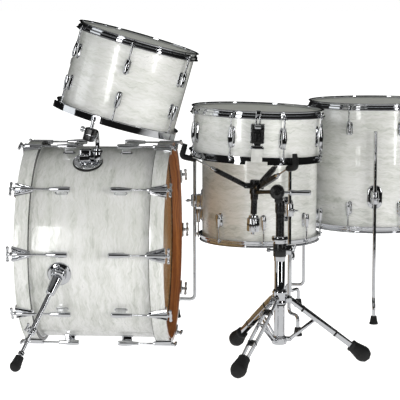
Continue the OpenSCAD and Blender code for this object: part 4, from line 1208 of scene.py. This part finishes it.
def tripod():
    """Base tube, leg collar, sprung double legs, braces and ribbed boots of the snare stand."""
    base = Piece("stand_base_plated", "stand", "stand_base")
    base.add(tube(BASE_R, TUBE_R + 1, BASE_BOTTOM, BASE_TOP, 0.8, 56), CHROME, STAND_AT)
    hub = [(0, 52), *rounded([(19, 52), (21, 54), (21, 70), (17.5, 74), (15.4, 76)], 1.4, 3), (0, 76)]
    base.add(turned(hub, 56), CHROME, STAND_AT)
    collar = Piece("leg_collar_cast", "stand", "leg_collar")
    collar_top = COLLAR_Z + COLLAR_H
    flank = [(20, COLLAR_Z), (21, COLLAR_Z + 3), (19.6, COLLAR_Z + 10), (19.6, COLLAR_Z + 26),
             (21, COLLAR_Z + 33), (20, collar_top)]
    ring = [(15.3, COLLAR_Z), *rounded(flank, 1.5, 3), (15.3, collar_top)]
    collar.add(turned(ring, 56, closed=True), CHROME, STAND_AT)
    collar.add(tube(17.6, 15.05, collar_top - 0.5, collar_top + 5, 1.2, 56), BLACK, STAND_AT)
    collar.add(tube(17.6, 15.05, COLLAR_Z - 5, COLLAR_Z + 0.5, 1.2, 56), BLACK, STAND_AT)
    for leg in legs_at():
        base.add(plate(bar_outline((15, BRACE_ROOT.y), BRACE_ROOT, 14), -4, 4, 1.4, 3), CHROME,
                 leg @ in_leg_plane())
        base.add(bar(3, -10, 10, 0.8, 24), CHROME,
                 leg @ shift(BRACE_ROOT.x, 0, BRACE_ROOT.y) @ turn(90, "X"))
        collar.add(plate(bar_outline((17, LEG_ROOT.y), LEG_ROOT, 18), -6, 6, 1.8, 3), CHROME,
                   leg @ in_leg_plane())
        collar.add(bar(3, -11, 11, 0.8, 24), CHROME, leg @ shift(LEG_ROOT.x, 0, LEG_ROOT.y) @ turn(90, "X"))
        for side in (-1, 1):
            head = leg @ shift(LEG_ROOT.x, side * 9.4, LEG_ROOT.y) @ turn(-90 * side, "X")
            collar.add(bar(5.2, -0.1, 1.9, 0.8, 24), CHROME, head)
    base.done()
    collar.done()

    leg_start = LEG_ROOT - (LEG_TIP - LEG_ROOT).normalized() * 7
    legs = Piece("stand_legs_sprung", "stand", "stand_legs")
    braces = Piece("stand_braces_flat", "stand", "stand_braces")
    feet = Piece("stand_boots_ribbed", "stand", "stand_feet")
    for leg in legs_at():
        for side in (-7.8, 7.8):
            legs.add(strip(leg_start, LEG_TIP, 15, 2.8, 2.6, side), CHROME, leg)
        for side in (-5.15, 5.15):
            braces.add(plate(bar_outline(BRACE_ROOT, BRACE_TIP, 9), -0.8, 0.8, 0.4, 2), CHROME,
                       leg @ in_leg_plane(side))
        braces.add(bar(3, -10.4, 10.4, 0.8, 24), CHROME,
                   leg @ shift(BRACE_TIP.x, 0, BRACE_TIP.y) @ turn(90, "X"))
        for share in (0.2, 0.7):
            spot = LEG_ROOT + share * (LEG_TIP - LEG_ROOT)
            block = leg @ shift(spot.x, 0, spot.y) @ turn(LEG_SLOPE, "Y") @ turn(90, "X")
            legs.add(plate(rectangle(16, 11, 2.4, 3), -6.4, 6.4, 1.2, 3), BLACK, block)
            legs.add(plate(rectangle(6, 16.6, 1.6, 3), -11.8, 11.8, 1.2, 3), BLACK, block)
        cap = leg @ shift(LEG_ROOT.x, 0, LEG_ROOT.y) @ turn(LEG_SLOPE, "Y") @ turn(90, "X")
        legs.add(plate(rectangle(10, 13, 2.4, 3, (-6, 0)), -6.0, 6.0, 1.6, 3), BLACK, cap)
        along = leg @ shift(BOOT_MID.x, 0, BOOT_MID.y) @ turn(LEG_SLOPE - 90, "Y")
        sole = rounded([(0, 0.2 - BOOT_R), (15.0, -16.5), (22.0, -4.0), (22.6, 5)], 3.0, 5)
        boot = [*sole, *ribbed((22.3, 8), (16.6, 36), 8, 0.9),
                (17.2, 38.5), (17.0, 42.5), (15.6, 44), (0, 44)]
        feet.add(turned(boot, 56), RUBBER, along)
    for piece in (legs, braces, feet):
        piece.done()


def stand_column():
    """Height clamp and the black height tube with its toothed tilt disc."""
    clamp = Piece("height_clamp_cast", "stand", "height_clamp")
    top = BASE_TOP
    flank = [(16, top + 0.3), (16.6, top + 10), (17.6, top + 34), (18.6, top + 54),
             (22, top + 58), (22, top + 68), (20.4, top + 70)]
    body = [(11.6, top + 0.3), *rounded(flank, 1.6, 3), (11.6, top + 70)]
    clamp.add(turned(body, 56, closed=True), CHROME, STAND_AT)
    clamp.add(tube(22.4, 20.6, top + 60, top + 66.5, 1.2, 56), BLACK, STAND_AT)
    clamp.add(tube(18.6, 16.4, top + 13, top + 50, 1.4, 56), BLACK, STAND_AT)
    clamp.add(plate(rectangle(34, 12, 3, 4, (17, 0)), top + 18, top + 46, 2.0, 3), CHROME, STAND_AT)
    wing = STAND_AT @ shift(-18.3, 0, top + 30) @ turn(-90, "Y")
    clamp.add(bar(4, 0, 8, 0.5, 24), CHROME, wing)
    clamp.add(bar(7, 8, 17.6, 1.8, 28), CHROME, wing)
    clamp.add(wing_screw(34), CHROME, wing @ shift(z=11) @ turn(90))
    lever = rounded([(36, top + 5), (38, top + 12), (36.5, top + 26), (41, top + 40), (43, top + 47)],
                    9, 5)
    thickness = [4.4] * (len(lever) - 1) + [3.2]
    clamp.add(pipe([(p.x, -10, p.y) for p in lever], thickness, 20), CHROME, STAND_AT)
    clamp.add(bar(5.6, -9, 5, 1.2, 28), CHROME, STAND_AT @ shift(34, -6, top + 32) @ turn(90, "X"))
    clamp.done()

    tube_piece = Piece("height_tube_black", "stand_tube", "height_tube")
    tube_piece.add(bar(TUBE_R, 150, TILT_Z - 23, 0.8, 44), BLACK, STAND_AT)
    sleeve = [(0, 420), *rounded([(13, 420), (13.6, 424), (13.6, 446), (12.4, 452)], 1.2, 3), (0, 452)]
    tube_piece.add(turned(sleeve, 44), BLACK, STAND_AT)
    tongue = rectangle(22, 12, 3, 4, (STAND_X - 4, STAND_Y - 7))
    tube_piece.add(plate(tongue, TILT_Z - 28, TILT_Z + 2, 1.6, 3), BLACK)
    face = shift(TILT_X, STAND_Y - 1, TILT_Z) @ turn(90, "X")
    disc = [(0, 0), *rounded([(20, 0), (20, 10), (17.5, 12), (12, 12.6), (9, 15.5), (0, 15.5)], 1.2, 3)]
    tube_piece.add(turned(disc, 56), BLACK, face)
    for k in range(36):
        tooth = turn(10 * k) @ shift(19.4)
        tube_piece.add(bar(1.0, 0.4, 9.0, 0.4, 8), BLACK, face @ tooth)
    tube_piece.add(bar(5, 0, 20, 0.6, 28), BLACK, shift(TILT_X, STAND_Y + 14, TILT_Z) @ turn(90, "X"))
    tube_piece.done()


BASKET_TURNS = (-86, 34, 154)
BASKET_FLOOR, HUB_H, HUB_R = -175.0, 40.0, 14.5
ARM_PIVOT = Vector((25, -152))
NUT_Z, NUT_H = -282.0, 40.0


def upright(point):
    """A point of an arm's plane, x outwards and y up, as a point in space."""
    return (point.x, 0, point.y)


def basket():
    """Hub on the tilt joint, fluted nut, and three folding arms with rubber fingers."""
    tilt = Vector((TILT_X, STAND_Y + 6, TILT_Z))
    hub_at = AT_SNARE @ Vector((0, 0, BASKET_FLOOR + 5))
    hub = Piece("basket_hub_cast", "basket", "basket_hub")
    disc = [(5.1, 0), *rounded([(20, 0), (20, 10), (18, 11.6)], 1.2, 3), (5.1, 11.6)]
    hub.add(turned(disc, 56, closed=True), BLACK,
            shift(TILT_X, STAND_Y + 12, TILT_Z) @ turn(90, "X"))
    neck = aim(tilt, hub_at)
    length = (hub_at - tilt).length
    across = neck.to_3x3().inverted() @ Vector((0, 0, 1))
    roll = math.degrees(math.atan2(across.x, across.y))
    loops = []
    for k in range(13):
        t = k / 12
        waist = 1 - 0.25 * math.sin(math.pi * t)
        loops.append([(px, py, length * t) for px, py in rectangle(12, 14 * waist, 3.5, 4)])
    hub.add(loft(loops), BLACK, neck @ turn(-roll))
    flank = [(HUB_R - 1, BASKET_FLOOR), (HUB_R, BASKET_FLOOR + 3), (HUB_R - 1.4, BASKET_FLOOR + 20),
             (HUB_R, BASKET_FLOOR + 36), (HUB_R - 2, BASKET_FLOOR + HUB_H)]
    barrel = [(0, BASKET_FLOOR), *rounded(flank, 1.2, 3), (0, BASKET_FLOOR + HUB_H)]
    hub.add(turned(barrel, 48), BLACK, AT_SNARE)
    for angle in BASKET_TURNS:
        for side in (-9, 9):
            cheek = plate(rectangle(27, 14, 5, 4, (18, ARM_PIVOT.y)), -2.5, 2.5, 1.0, 3)
            hub.add(cheek, BLACK, AT_SNARE @ turn(angle - 90) @ in_leg_plane(side))
        pin = AT_SNARE @ turn(angle - 90) @ shift(ARM_PIVOT.x, 0, ARM_PIVOT.y) @ turn(90, "X")
        hub.add(bar(3, -11.9, 11.9, 0.8, 20), CHROME, pin)
    hub.add(thread(5, NUT_Z - 8, BASKET_FLOOR + 1, 1.6, 24), CHROME, AT_SNARE)
    ring_low = NUT_Z + NUT_H + 10
    flank = [(9, ring_low), (9, BASKET_FLOOR - 18), (11, BASKET_FLOOR - 14), (11, BASKET_FLOOR)]
    ring = [(0, ring_low), *rounded(flank, 1.2, 3), (0, BASKET_FLOOR)]
    hub.add(turned(ring, 40), BLACK, AT_SNARE)
    handle = shift(TILT_X + 18, STAND_Y + 6, TILT_Z - 2) @ turn(90, "Y")
    swell = [(6.5, 16), (8, 20), (6.6, 34), (7.8, 60), (7.8, 72), (6, 75)]
    grip = [(0, 0), (4, 0), (4, 15), *rounded(swell, 2, 4), (0, 75)]
    hub.add(turned(grip, 36), CHROME, handle)
    hub.done()

    nut = Piece("basket_nut_fluted", "nut", "basket_nut")
    outline = [(0, 15.6), (1.4, 17.2), (3, 18), (NUT_H - 4, 18), (NUT_H - 2, 17), (NUT_H, 15),
               (NUT_H + 1, 14), (NUT_H + 6.5, 13.6), (NUT_H + 7, 12)]
    loops = []
    for z, r in outline:
        flute = 0.9 if 2 < z < NUT_H - 3 else 0.3
        loop = []
        for k in range(96):
            angle = 2 * math.pi * k / 96
            radius = r - flute * (0.5 + 0.5 * math.cos(16 * angle)) ** 2
            loop.append((radius * math.cos(angle), radius * math.sin(angle), z))
        loops.append(loop)
    nut.add(loft(loops), CHROME, AT_SNARE @ shift(z=NUT_Z))
    nut.add(tube(18.4, 16.8, 18, 22, 1.0, 48), BLACK, AT_SNARE @ shift(z=NUT_Z))
    nut.done(30)

    # Points along an arm: end of the flat bar, end of the rod, the finger's bend and its tip.
    rise, sleeve = Vector((110, -112)), Vector((168, -83.6))
    corner, finger = Vector((209, -75.6)), Vector((200, -40))
    slope = -math.degrees(math.atan2(*(rise - ARM_PIVOT).yx))
    for name, angle in zip(("left", "front", "rear"), BASKET_TURNS):
        arm = Piece(f"basket_arm_{name}_black", "arm_" + name, "arm_" + name)
        spot = AT_SNARE @ turn(angle - 90)
        arm.add(plate(bar_outline(ARM_PIVOT, rise, 13.4), -5.9, 5.9, 2.0, 3), BLACK, spot @ in_leg_plane())
        for k in range(9):
            at = ARM_PIVOT.lerp(rise, 0.26 + 0.07 * k)
            rib = spot @ shift(at.x, 0, at.y) @ turn(slope, "Y")
            arm.add(plate(rectangle(2.6, 14.2, 1.0, 2), -6.4, 6.4, 0.8, 2), BLACK, rib @ turn(90, "X"))
        arm.add(pipe([upright(rise.lerp(sleeve, -0.06)), upright(sleeve.lerp(rise, -0.1))], 2.5, 16),
                CHROME, spot)
        collar = spot @ aim(upright(rise), upright(sleeve))
        ferrule = [(0, -4), *rounded([(5.4, -4), (6.2, 2), (5.6, 15), (3.4, 19)], 1.2, 3), (0, 19)]
        arm.add(turned(ferrule, 28), CHROME, collar)
        finger_path = rounded([upright(sleeve), upright(corner), upright(finger)], 9, 6)
        arm.add(pipe(finger_path, [7.2] + [8.0] * (len(finger_path) - 2) + [7.0], 24), RUBBER, spot)
        for start, end, count in ((sleeve, corner, 6), (corner, finger, 5)):
            for k in range(count):
                place = aim(upright(start.lerp(end, (k + 1.2) / (count + 2.4))), upright(end))
                arm.add(tube(8.8, 7.0, -1.2, 1.2, 0.7, 28), RUBBER, spot @ place)
        arm.done()


kick_drum()
kick_claws()
toms()
snare_drum()
leg_set("small", "small_stand", "small_drum", SMALL_D, bracket_z=374, top_z=505, turns=(29, 153, -95))
leg_set("large", "large_stand", "large_drum", LARGE_D, bracket_z=387, top_z=595, turns=(0, 124, -102))
spurs()
tom_mount()
strainer()
snare_wires()
tripod()
stand_column()
basket()


# ---------- floor, light and camera ----------

FLOOR_LIFT = 0.12  # glow of the floor in every direction
FLOOR_SEEN = 0.95  # added to it for the camera, so that the paper reads as white
MIRRORED_SPAN = 8.0  # metres over which the painted reflection of the floor in chrome fades from bright to dark


def stage_material(name, build):
    """A material whose surface is whatever shader build(n) returns."""
    made = bpy.data.materials.new(name)
    made.use_nodes = True
    n = Nodes(made.node_tree)
    n.node("OutputMaterial", Surface=build(n))
    return made


def floor():
    """A pale floor; chrome sees a painted reflection of it instead, glowing bright near the kit and dark
    further out.
    """
    bm = bmesh.new()
    bmesh.ops.create_circle(bm, cap_ends=True, radius=60, segments=96)
    mesh = bpy.data.meshes.new("floor")
    bm.to_mesh(mesh)
    bm.free()
    made = bpy.data.objects.new("floor", mesh)
    bpy.context.scene.collection.objects.link(made)

    def build(n):
        where = n.node("TexCoord").outputs["Object"]
        grain = n.node("TexNoise", Vector=where, Scale=3.0, Detail=3.0)
        tone = n.ramp(grain, [(0.3, (0.86, 0.86, 0.86)), (0.7, (0.90, 0.90, 0.90))])
        pale = n.node("BsdfDiffuse", Color=tone)
        path = n.node("LightPath")
        strength = n.math("ADD", n.math("MULTIPLY", path.outputs["Is Camera Ray"], FLOOR_SEEN), FLOOR_LIFT)
        lift = n.node("Emission", Color=(1, 1, 1, 1), Strength=strength)
        seen = n.node("AddShader", _0=pale, _1=lift)
        # Painted reflection: glossy rays see a glowing floor, bright within about 1.6 m of the middle and
        # dark beyond about 2.2 m.
        distance = n.node("VectorMath", {"operation": "LENGTH"}, _0=where)
        reach = n.math("DIVIDE", distance.outputs["Value"], MIRRORED_SPAN)
        mirrored = n.node("Emission", Color=n.ramp(reach, [(0.20, (0.75,) * 3), (0.27, (0.01,) * 3)]))
        return n.node("MixShader", _0=path.outputs["Is Glossy Ray"], _1=seen, _2=mirrored)

    made.data.materials.append(stage_material("floor_paper", build))


def softbox(name, centre, target, width, height, power, colour=(1, 1, 1), mirrored=True):
    """An area light; chrome shows it only when mirrored is set."""
    light = bpy.data.lights.new(name, "AREA")
    light.shape = "RECTANGLE"
    light.size = width
    light.size_y = height
    light.energy = power
    light.color = colour
    made = bpy.data.objects.new(name, light)
    made.location = centre
    made.rotation_euler = (Vector(target) - Vector(centre)).to_track_quat("-Z", "Y").to_euler()
    made.visible_glossy = mirrored
    bpy.context.scene.collection.objects.link(made)


def studio():
    """White to the camera, dim with a bright ceiling to reflections; six area lights."""
    world = bpy.data.worlds.new("studio")
    bpy.context.scene.world = world
    world.use_nodes = True
    n = Nodes(world.node_tree)
    up = n.node("SeparateXYZ", Vector=n.node("TexCoord").outputs["Generated"]).outputs["Z"]
    height = n.math("ADD", n.math("MULTIPLY", up, 0.5), 0.5)
    room = n.ramp(height, [(0.46, (0.05,) * 3), (0.52, (0.008,) * 3), (0.72, (0.006,) * 3),
                           (0.97, (0.32,) * 3)])
    sky = n.ramp(height, [(0.5, (0.50, 0.50, 0.51)), (0.75, (0.26, 0.27, 0.25)),
                          (1.0, (0.16, 0.17, 0.14))])
    path = n.node("LightPath")
    soft = n.mix(path.outputs["Is Diffuse Ray"], room, sky)
    shown = n.mix(path.outputs["Is Camera Ray"], soft, (1.0, 1.0, 1.0))
    n.node("OutputWorld", Surface=n.node("Background", Color=shown, Strength=1.0))
    softbox("left_strip", (-2.2, -4.3, 1.1), (-0.1, 0, 0.6), 0.7, 2.2, 30)
    softbox("right_strip", (3.1, -3.2, 1.0), (0.1, 0, 0.5), 0.35, 1.8, 16)
    softbox("right_wall", (3.8, -3.4, 0.9), (0.1, 0, 0.5), 3.0, 2.4, 84, (1.0, 0.985, 0.95),
            mirrored=False)
    softbox("front_fill", (0.5, -5.4, 0.9), (0, 0, 0.5), 3.2, 0.9, 66, mirrored=False)
    softbox("left_wall", (-4.4, -1.0, 1.3), (0, 0, 0.5), 2.0, 2.0, 14, (0.95, 0.98, 1.0))
    softbox("back_rim", (0.5, 4.0, 2.2), (0, 0, 0.6), 4.0, 1.6, 45, mirrored=False)


def camera():
    data = bpy.data.cameras.new("camera")
    data.sensor_width = 36
    data.lens = 151.5
    data.clip_end = 100
    made = bpy.data.objects.new("camera", data)
    made.location = (0.2604, -5.0272, 1.0449)
    made.rotation_euler = (math.radians(90 - 7.29), 0, math.radians(4.53))
    bpy.context.scene.collection.objects.link(made)
    bpy.context.scene.camera = made


floor()
studio()
camera()
bpy.context.scene.view_settings.view_transform = "Standard"
